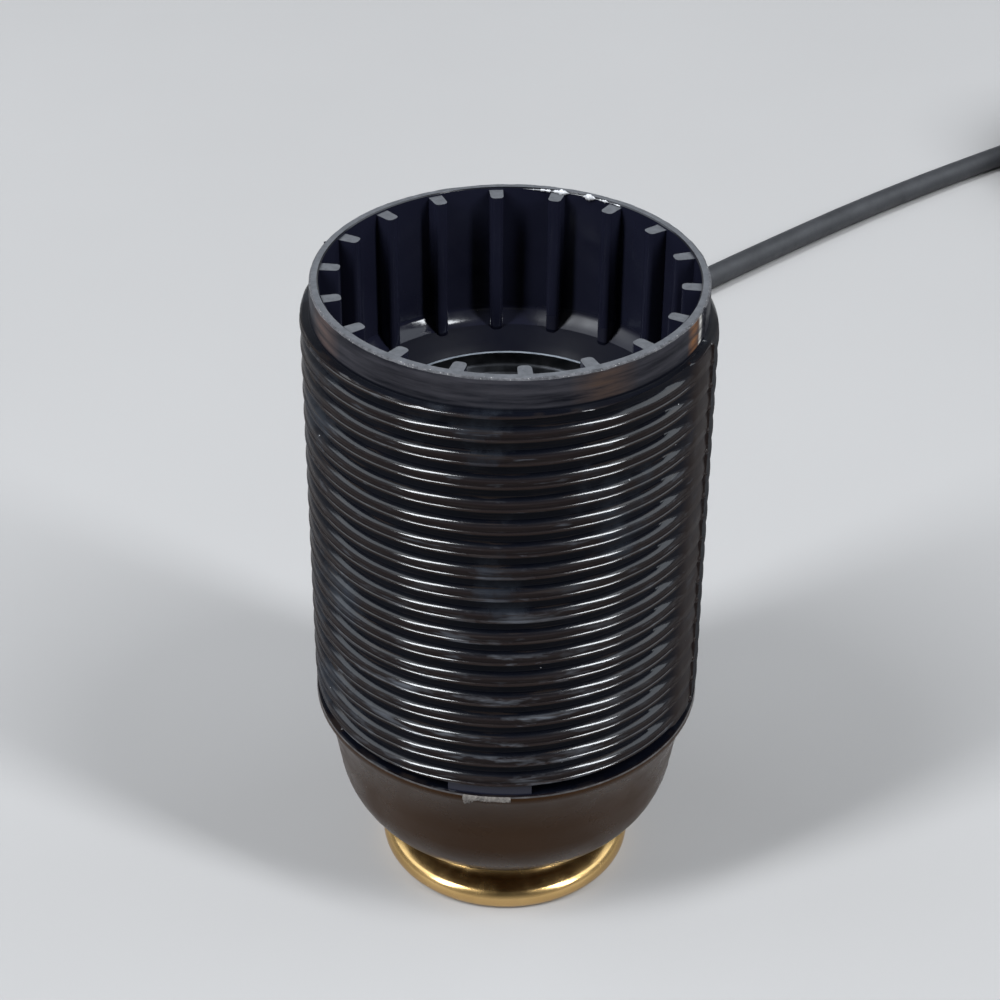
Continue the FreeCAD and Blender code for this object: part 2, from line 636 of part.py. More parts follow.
def foot_nut():
    body = new_body("foot_nut")
    blank = new_sketch(body, "blank", "XY_Plane", lift=WASHER_TOP)
    corner = "nut_flats / sqrt(3)"
    outline(
        blank,
        [
            (corner, "0"),
            (f"0.5 * {corner}", "0.5 * nut_flats"),
            (f"-0.5 * {corner}", "0.5 * nut_flats"),
            (f"-{corner}", "0"),
            (f"-0.5 * {corner}", "-0.5 * nut_flats"),
            (f"0.5 * {corner}", "-0.5 * nut_flats"),
        ],
    )
    circle(blank, "0", "0", "stem_radius + stem_play")
    pad(body, blank, "nut_height")


def screw_shell():
    """The nickelled sheet sleeve that the lamp screws into; its thread is rolled in the finish."""
    body = new_body("screw_shell")
    revolve(
        body,
        [
            ("sleeve_flange_bore", BLOCK_TOP),
            ("sleeve_foot_radius", BLOCK_TOP),
            ("sleeve_foot_radius", f"{BLOCK_TOP} + sleeve_foot_height - sheet"),
            ("sleeve_radius", f"{BLOCK_TOP} + sleeve_foot_height - sheet"),
            ("sleeve_radius", f"{SLEEVE_TOP} - lip_height"),
            ("lip_radius", f"{SLEEVE_TOP} - lip_band"),
            ("lip_radius", SLEEVE_TOP),
            ("lip_radius - sheet", SLEEVE_TOP),
            ("lip_radius - sheet", f"{SLEEVE_TOP} - lip_band"),
            ("sleeve_radius - sheet", f"{SLEEVE_TOP} - lip_height"),
            ("sleeve_radius - sheet", f"{BLOCK_TOP} + sleeve_foot_height"),
            ("sleeve_foot_radius - sheet", f"{BLOCK_TOP} + sleeve_foot_height"),
            ("sleeve_foot_radius - sheet", f"{BLOCK_TOP} + sheet"),
            ("sleeve_flange_bore", f"{BLOCK_TOP} + sheet"),
        ],
    )
    holes = new_sketch(body, "rivet_holes", "XY_Plane", lift=f"{BLOCK_TOP} + sheet")
    circle(holes, "neutral_rivet_place", "0", "rivet_radius + rivet_play")
    circle(holes, "0", "sleeve_rivet_place", "rivet_radius + rivet_play")
    circle(holes, "0", "-sleeve_rivet_place", "rivet_radius + rivet_play")
    pocket(body, holes, "sheet")


def contact_block():
    """The ceramic block: a flange held between cap and shell, with pockets for both terminals."""
    body = new_body("contact_block")
    revolve(
        body,
        [
            ("0", BLOCK_FOOT),
            ("block_radius", BLOCK_FOOT),
            ("block_radius", SPIGOT_TOP),
            (BLOCK_FLANGE_RADIUS, SPIGOT_TOP),
            (BLOCK_FLANGE_RADIUS, BLOCK_TOP),
            ("0", BLOCK_TOP),
        ],
    )
    sides = new_sketch(body, "sides", "XY_Plane", lift=BLOCK_FOOT)
    beyond = f"{BLOCK_FLANGE_RADIUS} + 1"
    rectangle(sides, f"-({beyond})", "block_flat", beyond, beyond)
    rectangle(sides, f"-({beyond})", f"-({beyond})", beyond, "-block_flat")
    pocket(body, sides, f"{SPIGOT_TOP} - ({BLOCK_FOOT})", back=True)

    pockets = new_sketch(body, "pockets", "XY_Plane", lift=BLOCK_FOOT)
    near = "terminal_near - pocket_play"
    far = "block_radius + 1"
    rectangle(pockets, near, "-pocket_half_width", far, "pocket_half_width")
    rectangle(pockets, f"-({far})", "-pocket_half_width", f"-({near})", "pocket_half_width")
    pocket(body, pockets, f"{TERMINAL_TOP} - ({BLOCK_FOOT})", back=True)

    recess = new_sketch(body, "recess", "XY_Plane", lift=BLOCK_TOP)
    rectangle(recess, "-recess_back", "-recess_half_width", "recess_front", "recess_half_width")
    pocket(body, recess, "recess_depth")

    rivets = new_sketch(body, "rivet_holes", "XY_Plane", lift=BLOCK_TOP)
    circle(rivets, "-leaf_rivet_place", "0", "rivet_radius + rivet_play")
    circle(rivets, "neutral_rivet_place", "0", "rivet_radius + rivet_play")
    circle(rivets, "0", "sleeve_rivet_place", "rivet_radius + rivet_play")
    circle(rivets, "0", "-sleeve_rivet_place", "rivet_radius + rivet_play")
    pocket(body, rivets, "pocket_ceiling")


def terminal(label, side, rivet_place):
    """A brass terminal: side is "" on +X and "-" on -X; the rivet of its contact enters its top."""
    body = new_body(label)
    blank = new_sketch(body, "blank", "XY_Plane", lift=TERMINAL_FOOT)
    near = f"{side}terminal_near"
    far = f"{side}terminal_far"
    left, right = (far, near) if side else (near, far)
    rectangle(blank, left, "-terminal_half_width", right, "terminal_half_width")
    pad(body, blank, "terminal_height")
    top = new_sketch(body, "rivet_hole", "XY_Plane", lift=TERMINAL_TOP)
    circle(top, f"{side}{rivet_place}", "0", "rivet_radius")
    pocket(body, top, "rivet_bite + rivet_play")
    foot = new_sketch(body, "wire_hole", "XY_Plane", lift=TERMINAL_FOOT)
    circle(foot, f"{side}wire_place", "0", "wire_hole_radius")
    pocket(body, foot, "wire_hole_depth", back=True)
    end = new_sketch(body, "screw_hole", "YZ_Plane", lift=far)
    circle(end, "0", f"{TERMINAL_FOOT} + terminal_screw_rise", "terminal_screw_radius + thread_play")
    pocket(body, end, "terminal_screw_reach", back=bool(side))


def terminal_screws():
    """Two slotted screws that clamp the cores, one on each side."""
    body = new_body("terminal_screws")
    revolve(
        body,
        [
            ("terminal_far - terminal_screw_reach", "0"),
            ("terminal_far + terminal_head", "0"),
            ("terminal_far + terminal_head", "terminal_head_radius"),
            ("terminal_far", "terminal_head_radius"),
            ("terminal_far", "terminal_screw_radius"),
            ("terminal_far - terminal_screw_reach", "terminal_screw_radius"),
        ],
        axis="H_Axis",
        rise=f"{TERMINAL_FOOT} + terminal_screw_rise",
    )
    slot = new_sketch(body, "slot", "YZ_Plane", lift="terminal_far + terminal_head")
    height = f"{TERMINAL_FOOT} + terminal_screw_rise"
    wide = "terminal_head_radius + 1"
    rectangle(slot, f"-({wide})", f"{height} - 0.5 * slot_width", wide, f"{height} + 0.5 * slot_width")
    pocket(body, slot, "slot_depth")
    mirrored_pair("terminal_screws", body, Vector(1, 0, 0))


def rivet(label, place_x, place_y, head_foot, shank_end, tail=False):
    """A rivet with a low head on top and, where tail is true, another closed below."""
    body = new_body(label)
    bind(body, **{"Placement.Base.x": place_x, "Placement.Base.y": place_y})
    corners = [
        ("0", shank_end),
        ("rivet_radius", shank_end),
        ("rivet_radius", head_foot),
        ("rivet_head_radius", head_foot),
        ("rivet_head_radius", f"{head_foot} + 0.4 * rivet_head"),
        ("0.6 * rivet_head_radius", f"{head_foot} + rivet_head"),
        ("0", f"{head_foot} + rivet_head"),
    ]
    if tail:
        corners[:2] = [
            ("0", f"{shank_end} - rivet_head"),
            ("0.6 * rivet_head_radius", f"{shank_end} - rivet_head"),
            ("rivet_head_radius", f"{shank_end} - 0.4 * rivet_head"),
            ("rivet_head_radius", shank_end),
            ("rivet_radius", shank_end),
        ]
    revolve(body, corners)
    return body


def centre_leaf():
    """The bent bronze strip that carries the contact button and pushes it up at the lamp."""
    body = new_body("centre_leaf")
    high = f"{LEAF_SEAT} + leaf_rise"
    side = new_sketch(body, "side", "XZ_Plane")
    outline(
        side,
        [
            ("-leaf_back", LEAF_SEAT),
            ("-leaf_bend", LEAF_SEAT),
            ("-leaf_crook", high),
            ("leaf_front", high),
            ("leaf_front", f"{high} + leaf_thickness"),
            ("-leaf_crook - 0.6 * leaf_thickness", f"{high} + leaf_thickness"),
            ("-leaf_bend - 0.6 * leaf_thickness", f"{LEAF_SEAT} + leaf_thickness"),
            ("-leaf_back", f"{LEAF_SEAT} + leaf_thickness"),
        ],
    )
    pad(body, side, "2 * leaf_half_width", middle=True)
    low = new_sketch(body, "rivet_hole", "XY_Plane", lift=f"{LEAF_SEAT} + leaf_thickness")
    circle(low, "-leaf_rivet_place", "0", "rivet_radius")
    pocket(body, low, "leaf_thickness")
    top = new_sketch(body, "button_hole", "XY_Plane", lift=LEAF_TOP)
    circle(top, "0", "0", "button_shank_radius")
    pocket(body, top, "leaf_thickness")


def contact_button():
    """The turned button that meets the lamp's centre contact; its shank is closed under the leaf."""
    body = new_body("contact_button")
    under = f"{LEAF_TOP} - leaf_thickness"
    revolve(
        body,
        [
            ("0", f"{under} - button_tail"),
            ("button_tail_radius", f"{under} - button_tail"),
            ("button_tail_radius", under),
            ("button_shank_radius", under),
            ("button_shank_radius", LEAF_TOP),
            ("button_radius", LEAF_TOP),
            ("button_radius", f"{LEAF_TOP} + button_edge"),
            ("0.55 * button_radius", f"{LEAF_TOP} + button_height"),
            ("0", f"{LEAF_TOP} + button_height"),
        ],
    )


def strain_relief():
    """The rubber sleeve in the outlet: a flange inside, a collar outside and a long taper."""
    body = new_body("strain_relief")
    inner = f"{CAVITY_RADIUS} - relief_flange_gap"
    outer = "cap_bulge_radius + outlet_play"
    neck = "outlet_radius - outlet_play"
    bore = "cord_radius + cord_play"
    revolve(
        body,
        [
            (f"{inner} - relief_flange", bore),
            ("relief_end", bore),
            ("relief_end", "relief_tip_radius"),
            (f"{outer} + relief_collar", "relief_root_radius"),
            (f"{outer} + relief_collar", "relief_collar_radius"),
            (outer, "relief_collar_radius"),
            (outer, neck),
            (inner, neck),
            (inner, "relief_flange_radius"),
            (f"{inner} - relief_flange", "relief_flange_radius"),
        ],
        role="YZ_Plane",
        axis="H_Axis",
        rise=OUTLET,
    )


def cord_clamp():
    """The saddle that holds the lead down on the cap's pedestal."""
    body = new_body("cord_clamp")
    end = new_sketch(body, "end", "XZ_Plane")
    low = f"{OUTLET} + clamp_gap"
    rectangle(end, "-clamp_half_width", low, "clamp_half_width", f"{OUTLET} + clamp_height")
    end.setExpression("AttachmentOffset.Base.z", formula(f"-({CLAMP_MIDDLE})"))
    pad(body, end, "clamp_length", middle=True)
    groove = new_sketch(body, "cord_groove", "XZ_Plane")
    circle(groove, "0", OUTLET, "cord_radius + cord_play")
    pocket(body, groove, "clamp_near + clamp_length + 0.5")
    holes = new_sketch(body, "screw_holes", "XY_Plane", lift=f"{OUTLET} + clamp_height")
    circle(holes, "clamp_screw_place", CLAMP_MIDDLE, "clamp_screw_radius + thread_play")
    circle(holes, "-clamp_screw_place", CLAMP_MIDDLE, "clamp_screw_radius + thread_play")
    pocket(body, holes, "clamp_height")


def clamp_screws():
    """Two slotted screws that pull the saddle down."""
    body = new_body("clamp_screws")
    bind(body, **{"Placement.Base.x": "clamp_screw_place", "Placement.Base.y": CLAMP_MIDDLE})
    seat = f"{OUTLET} + clamp_height"
    revolve(
        body,
        [
            ("0", f"{seat} - clamp_screw_length"),
            ("clamp_screw_radius", f"{seat} - clamp_screw_length"),
            ("clamp_screw_radius", seat),
            ("clamp_head_radius", seat),
            ("clamp_head_radius", f"{seat} + clamp_head"),
            ("0", f"{seat} + clamp_head"),
        ],
    )
    slot = new_sketch(body, "slot", "XY_Plane", lift=f"{seat} + clamp_head")
    wide = "clamp_head_radius + 1"
    rectangle(slot, f"-({wide})", "-0.5 * slot_width", wide, "0.5 * slot_width")
    pocket(body, slot, "slot_depth")
    mirrored_pair("clamp_screws", body, Vector(1, 0, 0))


def cord_tail():
    """The lead's end inside the cap: through the relief and the clamp to the end of its jacket."""
    body = new_body("cord_tail")
    end = new_sketch(body, "end", "XZ_Plane")
    end.setExpression("AttachmentOffset.Base.z", formula("-jacket_end"))
    circle(end, "0", OUTLET, "cord_radius")
    pad(body, end, "relief_end - jacket_end", back=True)


def cores():
    """The two insulated cores, from the jacket's end up into their terminals."""
    for label, side in (("core_brown", -1), ("core_blue", 1)):
        route = [(side * worth(x), worth(y), worth(z)) for x, y, z in CORE_ROUTE]
        tube(label, route, worth("core_radius"), chords=3)


def cord_coil():
    """The outer shape of the coiled part of the lead."""
    body = new_body("cord_coil")
    bind(body, **{"Placement.Base.x": "coil_place_x", "Placement.Base.y": "coil_place_y"})
    revolve(
        body,
        [
            ("coil_bore + coil_round", "0"),
            ("coil_radius - coil_round", "0"),
            ("coil_radius", "coil_round"),
            ("coil_radius", "coil_height - coil_round"),
            ("coil_radius - coil_round", "coil_height"),
            ("coil_bore + coil_round", "coil_height"),
            ("coil_bore", "coil_height - coil_round"),
            ("coil_bore", "coil_round"),
        ],
    )


PLUG_TAIL = "plug_place_y - plug_relief"
PLUG_FACE = f"{PLUG_TAIL} - plug_length"


def plug_body():
    """The flat two-pin plug, lying on its broad side with its face towards -Y."""
    body = new_body("plug_body")
    plan = new_sketch(body, "plan", "XY_Plane")
    left = f"{PLUG_AXIS} -"
    right = f"{PLUG_AXIS} +"
    outline(
        plan,
        [
            (f"{right} plug_tail_half_width", PLUG_TAIL),
            (f"{left} plug_tail_half_width", PLUG_TAIL),
            (f"{left} plug_half_width", f"{PLUG_FACE} + plug_shoulder"),
            (f"{left} plug_half_width", PLUG_FACE),
            (f"{right} plug_half_width", PLUG_FACE),
            (f"{right} plug_half_width", f"{PLUG_FACE} + plug_shoulder"),
        ],
    )
    block = pad(body, plan, "2 * plug_half_thickness")
    doc.recompute()
    edges = body.newObject("PartDesign::Fillet", "plug_body_edges")
    edges.Base = (block, ["Face7", "Face8"])
    bind(edges, Radius="plug_edge")


def plug_relief():
    body = new_body("plug_relief")
    section = new_sketch(body, "section", "XY_Plane", lift="plug_half_thickness")
    section.setExpression("AttachmentOffset.Base.x", formula(PLUG_AXIS))
    outline(
        section,
        [
            ("0", PLUG_TAIL),
            ("plug_relief_radius", PLUG_TAIL),
            ("relief_tip_radius", "plug_place_y"),
            ("0", "plug_place_y"),
        ],
    )
    turned = body.newObject("PartDesign::Revolution", "plug_relief_turned")
    turned.Profile = section
    turned.ReferenceAxis = (section, ["V_Axis"])
    turned.Angle = 360


def plug_pins():
    body = new_body("plug_pins")
    section = new_sketch(body, "section", "XY_Plane", lift="plug_half_thickness")
    section.setExpression("AttachmentOffset.Base.x", formula(f"{PLUG_AXIS} + pin_place"))
    tip = f"{PLUG_FACE} - pin_length"
    outline(
        section,
        [
            ("0", PLUG_FACE),
            ("0", tip),
            ("pin_radius - pin_round", tip),
            ("pin_radius", f"{tip} + pin_round"),
            ("pin_radius", PLUG_FACE),
        ],
    )
    turned = body.newObject("PartDesign::Revolution", "plug_pins_turned")
    turned.Profile = section
    turned.ReferenceAxis = (section, ["V_Axis"])
    turned.Angle = 360
    mirrored_pair("plug_pins", body, Vector(1, 0, 0), across=PLUG_AXIS)


outer_shell()
cap_dome()
brass_foot()
lock_washer()
foot_nut()
screw_shell()
contact_block()
terminal("terminal_live", "-", "leaf_rivet_place")
terminal("terminal_neutral", "", "neutral_rivet_place")
terminal_screws()
rivet("leaf_rivet", "-leaf_rivet_place", "0", f"{LEAF_SEAT} + leaf_thickness", f"{TERMINAL_TOP} - rivet_bite")
rivet("neutral_rivet", "neutral_rivet_place", "0", f"{BLOCK_TOP} + sheet", f"{TERMINAL_TOP} - rivet_bite")
mirrored_pair(
    "sleeve_rivets",
    rivet("sleeve_rivets", "0", "sleeve_rivet_place", f"{BLOCK_TOP} + sheet", SPIGOT_TOP, tail=True),
    Vector(0, 1, 0),
)
centre_leaf()
contact_button()
strain_relief()
cord_clamp()
clamp_screws()
cord_tail()
cores()
tube("cord_stretch", [(0, worth("relief_end"), worth(OUTLET))] + CORD_ROUTE, worth("cord_radius"))
tube("cord_lead", [tuple(map(worth, point)) for point in LEAD_ROUTE], worth("cord_radius"))
cord_coil()
plug_body()
plug_relief()
plug_pins()

doc.recompute()
faults = []
for feature in doc.Objects:
    if any(word in ("Invalid", "Error") for word in feature.State):
        faults.append(f"{feature.Name}: {feature.State}")
for label, piece in pieces.items():
    if piece.Shape.isNull() or not piece.Shape.isValid() or not piece.Shape.Solids:
        faults.append(f"{label}: no valid solid")
if faults:
    raise RuntimeError("; ".join(faults))

os.makedirs("parts", exist_ok=True)
for label, piece in pieces.items():
    piece.Shape.exportStep(f"parts/{label}.step")
    box = piece.Shape.optimalBoundingBox()
    print(
        f"{label}: {len(piece.Shape.Solids)} solid, {piece.Shape.Volume:.2f} mm3, "
        f"x {box.XMin:.2f}..{box.XMax:.2f}, y {box.YMin:.2f}..{box.YMax:.2f}, z {box.ZMin:.2f}..{box.ZMax:.2f}"
    )
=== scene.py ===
# %% [markdown]
# # A lamp holder with a threaded barrel, piece by piece
#
# The real object screws together from three shells: a black moulded barrel with a thread for shade
# rings, a brown-black cap below it, and a turned brass foot. A round black lead leaves the cap at the
# back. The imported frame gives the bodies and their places, so the first step is to load it, and
# everything after it is built round what it says.

# %% Load the frame
import math
import random

import bmesh
import bpy
from mathutils import Matrix, Quaternion, Vector


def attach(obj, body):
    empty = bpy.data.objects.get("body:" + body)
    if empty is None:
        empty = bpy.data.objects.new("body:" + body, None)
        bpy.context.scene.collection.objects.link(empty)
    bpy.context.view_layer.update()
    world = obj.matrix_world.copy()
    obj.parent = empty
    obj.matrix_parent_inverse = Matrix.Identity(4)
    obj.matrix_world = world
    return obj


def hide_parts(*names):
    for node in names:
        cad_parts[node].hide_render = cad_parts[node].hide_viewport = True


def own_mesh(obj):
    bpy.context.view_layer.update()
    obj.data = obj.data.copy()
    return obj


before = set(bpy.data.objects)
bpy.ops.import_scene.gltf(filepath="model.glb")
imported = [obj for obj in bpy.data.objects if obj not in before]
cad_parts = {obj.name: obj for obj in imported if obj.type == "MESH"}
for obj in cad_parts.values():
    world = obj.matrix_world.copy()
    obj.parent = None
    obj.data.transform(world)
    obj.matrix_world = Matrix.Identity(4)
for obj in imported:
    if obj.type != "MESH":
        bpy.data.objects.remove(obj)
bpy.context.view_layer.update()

MM = 0.001

# %% [markdown]
# ## The camera
#
# A long lens looks down on the holder from the front. It sits on a circle round a point on the axis,
# so four numbers say where it is: its distance, its elevation, the height of that point, and a small
# roll. The lens is shifted a little sideways, so that the holder doesn't sit quite in the middle.

# %% Camera
CAMERA_DISTANCE = 0.234815
CAMERA_ELEVATION = math.radians(34.2678)
CAMERA_ROLL = math.radians(0.5277)
LOOK_AT = Vector((0, 0, 0.043450))

backward = Vector((0, -math.cos(CAMERA_ELEVATION), math.sin(CAMERA_ELEVATION)))
camera = bpy.data.objects.new("camera", bpy.data.cameras.new("camera"))
camera.data.lens = 84.583
camera.data.shift_x = -0.00796
camera.data.clip_start = 0.01
camera.location = LOOK_AT + CAMERA_DISTANCE * backward
camera.rotation_mode = "QUATERNION"
camera.rotation_quaternion = (-backward).to_track_quat("-Z", "Y") @ Quaternion((0, 0, 1), CAMERA_ROLL)
bpy.context.scene.collection.objects.link(camera)
bpy.context.scene.camera = camera
print("camera at", [round(value, 4) for value in camera.location])

# %% [markdown]
# ## Finishes
#
# Each finish is a Principled shader with three quiet patterns on Object coordinates: one that shifts
# the colour, one that shifts the gloss, and one that gives the surface its fine bumps. Object
# coordinates are in metres here, so a scale of 1000 repeats about once a millimetre. One function
# makes the three, and the finishes that need more add it afterwards.

# %% Finishes: the common start
def add(tree, kind, inputs, **settings):
    """A node with its settings and its inputs, given as values or as other nodes' outputs."""
    made = tree.nodes.new(kind)
    for name, value in settings.items():
        setattr(made, name, value)
    for socket, value in inputs.items():
        if isinstance(value, bpy.types.NodeSocket):
            tree.links.new(value, made.inputs[socket])
        else:
            made.inputs[socket].default_value = value
    return made


def place_in(tree):
    """Object coordinates, from the one node that each finish has for them."""
    return [node for node in tree.nodes if node.type == "TEX_COORD"][0].outputs["Object"]


def noise(tree, place, scale, detail=4.0, rough=0.55):
    return add(tree, "ShaderNodeTexNoise", {
        "Vector": place, "Scale": scale, "Detail": detail, "Roughness": rough,
    }).outputs["Fac"]


def ranged(tree, value, low, high, to_low=0.0, to_high=1.0):
    return add(tree, "ShaderNodeMapRange", {
        "Value": value, "From Min": low, "From Max": high, "To Min": to_low, "To Max": to_high,
    }).outputs["Result"]


def maths(tree, operation, *values):
    return add(tree, "ShaderNodeMath", dict(enumerate(values)), operation=operation).outputs[0]


def mixed(tree, share, first, second):
    """The first colour, with the second one on a share of the surface."""
    return add(tree, "ShaderNodeMix", {0: share, 6: first, 7: second}, data_type="RGBA").outputs[2]


def finish_of(name, dark, light, gloss, tone_scale, bump_scale, bump_height, **sockets):
    """A material whose colour runs from dark to light and whose roughness runs over gloss."""
    material = bpy.data.materials.new(name)
    material.use_nodes = True
    tree = material.node_tree
    shader = tree.nodes["Principled BSDF"]
    place = add(tree, "ShaderNodeTexCoord", {}).outputs["Object"]
    tone = ranged(tree, noise(tree, place, tone_scale), 0.3, 0.7)
    tree.links.new(mixed(tree, tone, (*dark, 1), (*light, 1)), shader.inputs["Base Color"])
    haze = ranged(tree, noise(tree, place, tone_scale * 2.3, 5.0), 0.35, 0.7, *gloss)
    tree.links.new(haze, shader.inputs["Roughness"])
    bump = add(tree, "ShaderNodeBump", {
        "Height": noise(tree, place, bump_scale, 3.0), "Distance": bump_height, "Strength": 1.0,
    })
    tree.links.new(bump.outputs["Normal"], shader.inputs["Normal"])
    for socket, value in sockets.items():
        shader.inputs[socket.replace("_", " ")].default_value = value
    return material


cord_jacket = finish_of(
    "cord_jacket", (0.018, 0.019, 0.022), (0.030, 0.031, 0.035), (0.5, 0.68), 260, 5200, 0.00003,
)
print("first finish:", cord_jacket.name)

# %% [markdown]
# ## The lead
#
# The lead is one length of round cable, so it is one curve. It leaves its sleeve level, falls to the
# surface, swings to the right, and is wound up out of sight into a neat coil before it reaches its
# plug. The coil winds in and out like a fishing reel: each layer is a flat spiral, and at each end
# the lead climbs by one thickness and turns back. A NURBS spline with these points as its control
# points bends evenly everywhere. It cuts inside its control points, so the coil's are swollen a little.

# %% Lead: one curve from sleeve to plug
CORD_RADIUS = 1.7
CORD_ROUTE = [
    (0.0, 40.0, 13.0),
    (0.1, 50.0, 12.2),
    (0.3, 61.0, 6.9),
    (0.9, 73.0, 2.2),
    (3.6, 87.0, 1.75),
    (10.6, 101.5, 1.7),
    (22.4, 114.6, 1.7),
    (38.6, 129.6, 1.7),
    (58.4, 147.2, 1.7),
    (79.6, 163.6, 1.7),
    (98.0, 176.6, 1.7),
]
LEAD_ROUTE = [(138.8, 161.0, 12.8), (140.9, 152.5, 11.4), (141.7, 144.8, 8.05), (141.8, 137.0, 6.85)]
COIL_MIDDLE = Vector((113.6, 159.1, 0))
COIL_LAYERS = 4
COIL_TURNS = 12.24
COIL_OUTER, COIL_INNER = 25.2, 14.64
COIL_BOTTOM = 2.5
LAYER_RISE = 3.45
CLIMB_TURNS = 0.2
COIL_START = math.radians(109.2)
POINTS_PER_TURN = 16

layer_turns = COIL_TURNS / COIL_LAYERS
chord_swell = 1 / (0.75 + 0.25 * math.cos(2 * math.pi / POINTS_PER_TURN))
coil_route = []
for step in range(round(COIL_TURNS * POINTS_PER_TURN) + 1):
    turns = step / POINTS_PER_TURN
    layer = min(int(turns / layer_turns), COIL_LAYERS - 1)
    along = turns / layer_turns - layer
    inward = along if layer % 2 == 0 else 1 - along
    radius = (COIL_OUTER + (COIL_INNER - COIL_OUTER) * inward) * chord_swell
    height = COIL_BOTTOM
    for climb in range(1, COIL_LAYERS):
        part = min(max((turns - climb * layer_turns) / CLIMB_TURNS + 0.5, 0), 1)
        height += LAYER_RISE * part * part * (3 - 2 * part)
    angle = COIL_START - turns * 2 * math.pi
    coil_route.append(COIL_MIDDLE + Vector((radius * math.cos(angle), radius * math.sin(angle), height)))

route = [Vector(point) for point in CORD_ROUTE] + coil_route + [Vector(point) for point in LEAD_ROUTE]
line = bpy.data.curves.new("cord", "CURVE")
line.dimensions = "3D"
spline = line.splines.new("NURBS")
spline.points.add(len(route) - 1)
for control, point in zip(spline.points, route):
    control.co = (*(point * MM), 1)
spline.order_u = 3
spline.use_endpoint_u = True
line.resolution_u = 4
line.bevel_depth = CORD_RADIUS * MM
line.bevel_resolution = 4
line.use_fill_caps = True
cord = bpy.data.objects.new("cord", line)
bpy.context.scene.collection.objects.link(cord)
cord.data.materials.append(cord_jacket)
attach(cord, "holder")
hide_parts("cord_stretch", "cord_coil", "cord_lead")
print("lead:", len(route), "control points")

# %% [markdown]
# ## Small helpers for turned and moulded pieces
#
# Almost every piece here is turned, so it starts as half of its outline and is spun round an axis.
# The outline is a list of radius and height. Rounded places are short arcs. After the spin the
# doubles are merged, the normals are made to point outwards, and edges sharper than a given angle
# are marked, so that rounded places shade smoothly and corners stay crisp.

# %% Helpers for outlines
def arc(middle, radius, begin, end, steps):
    """Points of an arc in the outline's plane, with its ends, from begin to end in degrees."""
    angles = [math.radians(begin + (end - begin) * step / steps) for step in range(steps + 1)]
    return [(middle[0] + radius * math.cos(a), middle[1] + radius * math.sin(a)) for a in angles]


def arc_through(first, last, radius, steps):
    """Points of the arc from first to last, bulging to the right of the way, or left if negative."""
    a, b = Vector(first), Vector(last)
    chord = b - a
    half = chord.length / 2
    across = Vector((-chord.y, chord.x)).normalized() * math.copysign(
        math.sqrt(radius * radius - half * half), radius)
    middle = (a + b) / 2 + across
    begin = math.degrees(math.atan2(a.y - middle.y, a.x - middle.x))
    end = math.degrees(math.atan2(b.y - middle.y, b.x - middle.x))
    turn = (end - begin + 180) % 360 - 180
    return arc(middle, abs(radius), begin, begin + turn, steps)


def outline_of(mesh, points, closed=False):
    """A chain of edges in the XZ plane: points are (radius, height) in millimetres."""
    corners = [mesh.verts.new((x * MM, 0, z * MM)) for x, z in points]
    pairs = list(zip(corners, corners[1:])) + ([(corners[-1], corners[0])] if closed else [])
    return corners + [mesh.edges.new(pair) for pair in pairs]


def place_of(vertex):
    """Radius and height of a vertex in millimetres, and its angle round Z."""
    x, y, z = vertex.co
    return math.hypot(x, y) / MM, z / MM, math.atan2(y, x)


def set_place(vertex, radius, height=None):
    _, old, angle = place_of(vertex)
    vertex.co = (radius * MM * math.cos(angle), radius * MM * math.sin(angle),
                 (old if height is None else height) * MM)


# %% Helpers for meshes
def verts_of(made):
    """The vertices among what an operator made."""
    return [part for part in made["geom"] if isinstance(part, bmesh.types.BMVert)]


def turn_all(mesh, angle, axis="Z"):
    bmesh.ops.rotate(mesh, verts=mesh.verts, cent=(0, 0, 0), matrix=Matrix.Rotation(angle, 3, axis))


def move_all(mesh, x, y, z):
    bmesh.ops.translate(mesh, verts=mesh.verts, vec=(x * MM, y * MM, z * MM))


def spin_full(mesh, outline, steps):
    """Spin the outline all the way round Z and close it on itself."""
    bmesh.ops.spin(mesh, geom=outline, cent=(0, 0, 0), axis=(0, 0, 1), dvec=(0, 0, 0),
                   angle=2 * math.pi, steps=steps, use_merge=True)
    bmesh.ops.remove_doubles(mesh, verts=mesh.verts, dist=1e-6)


def spin_part(mesh, section, begin, end, steps):
    """Spin a closed section from one angle to another, and close its ends."""
    turn_all(mesh, begin)
    bmesh.ops.spin(mesh, geom=section, cent=(0, 0, 0), axis=(0, 0, 1), dvec=(0, 0, 0),
                   angle=end - begin, steps=steps, use_merge=False)
    bmesh.ops.holes_fill(mesh, edges=[edge for edge in mesh.edges if edge.is_boundary])


def turned(points, steps=96, closed=True):
    mesh = bmesh.new()
    spin_full(mesh, outline_of(mesh, points, closed), steps)
    return mesh


def make_piece(name, mesh, materials, body="holder", sharp=35, recalc=True):
    """Turn a bmesh into an object that rides on a body."""
    if recalc:
        bmesh.ops.recalc_face_normals(mesh, faces=mesh.faces)
    for face in mesh.faces:
        face.smooth = True
    for edge in mesh.edges:
        if len(edge.link_faces) == 2 and edge.calc_face_angle(0) > math.radians(sharp):
            edge.smooth = False
    data = bpy.data.meshes.new(name)
    mesh.to_mesh(data)
    mesh.free()
    for material in materials:
        data.materials.append(material)
    piece = bpy.data.objects.new(name, data)
    bpy.context.scene.collection.objects.link(piece)
    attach(piece, body)
    print(f"{name}: {len(data.polygons)} faces")
    return piece


def add_mesh(whole, part):
    """Add a finished bmesh to another one, and free it."""
    carrier = bpy.data.meshes.new("carrier")
    part.to_mesh(carrier)
    part.free()
    whole.from_mesh(carrier)
    bpy.data.meshes.remove(carrier)


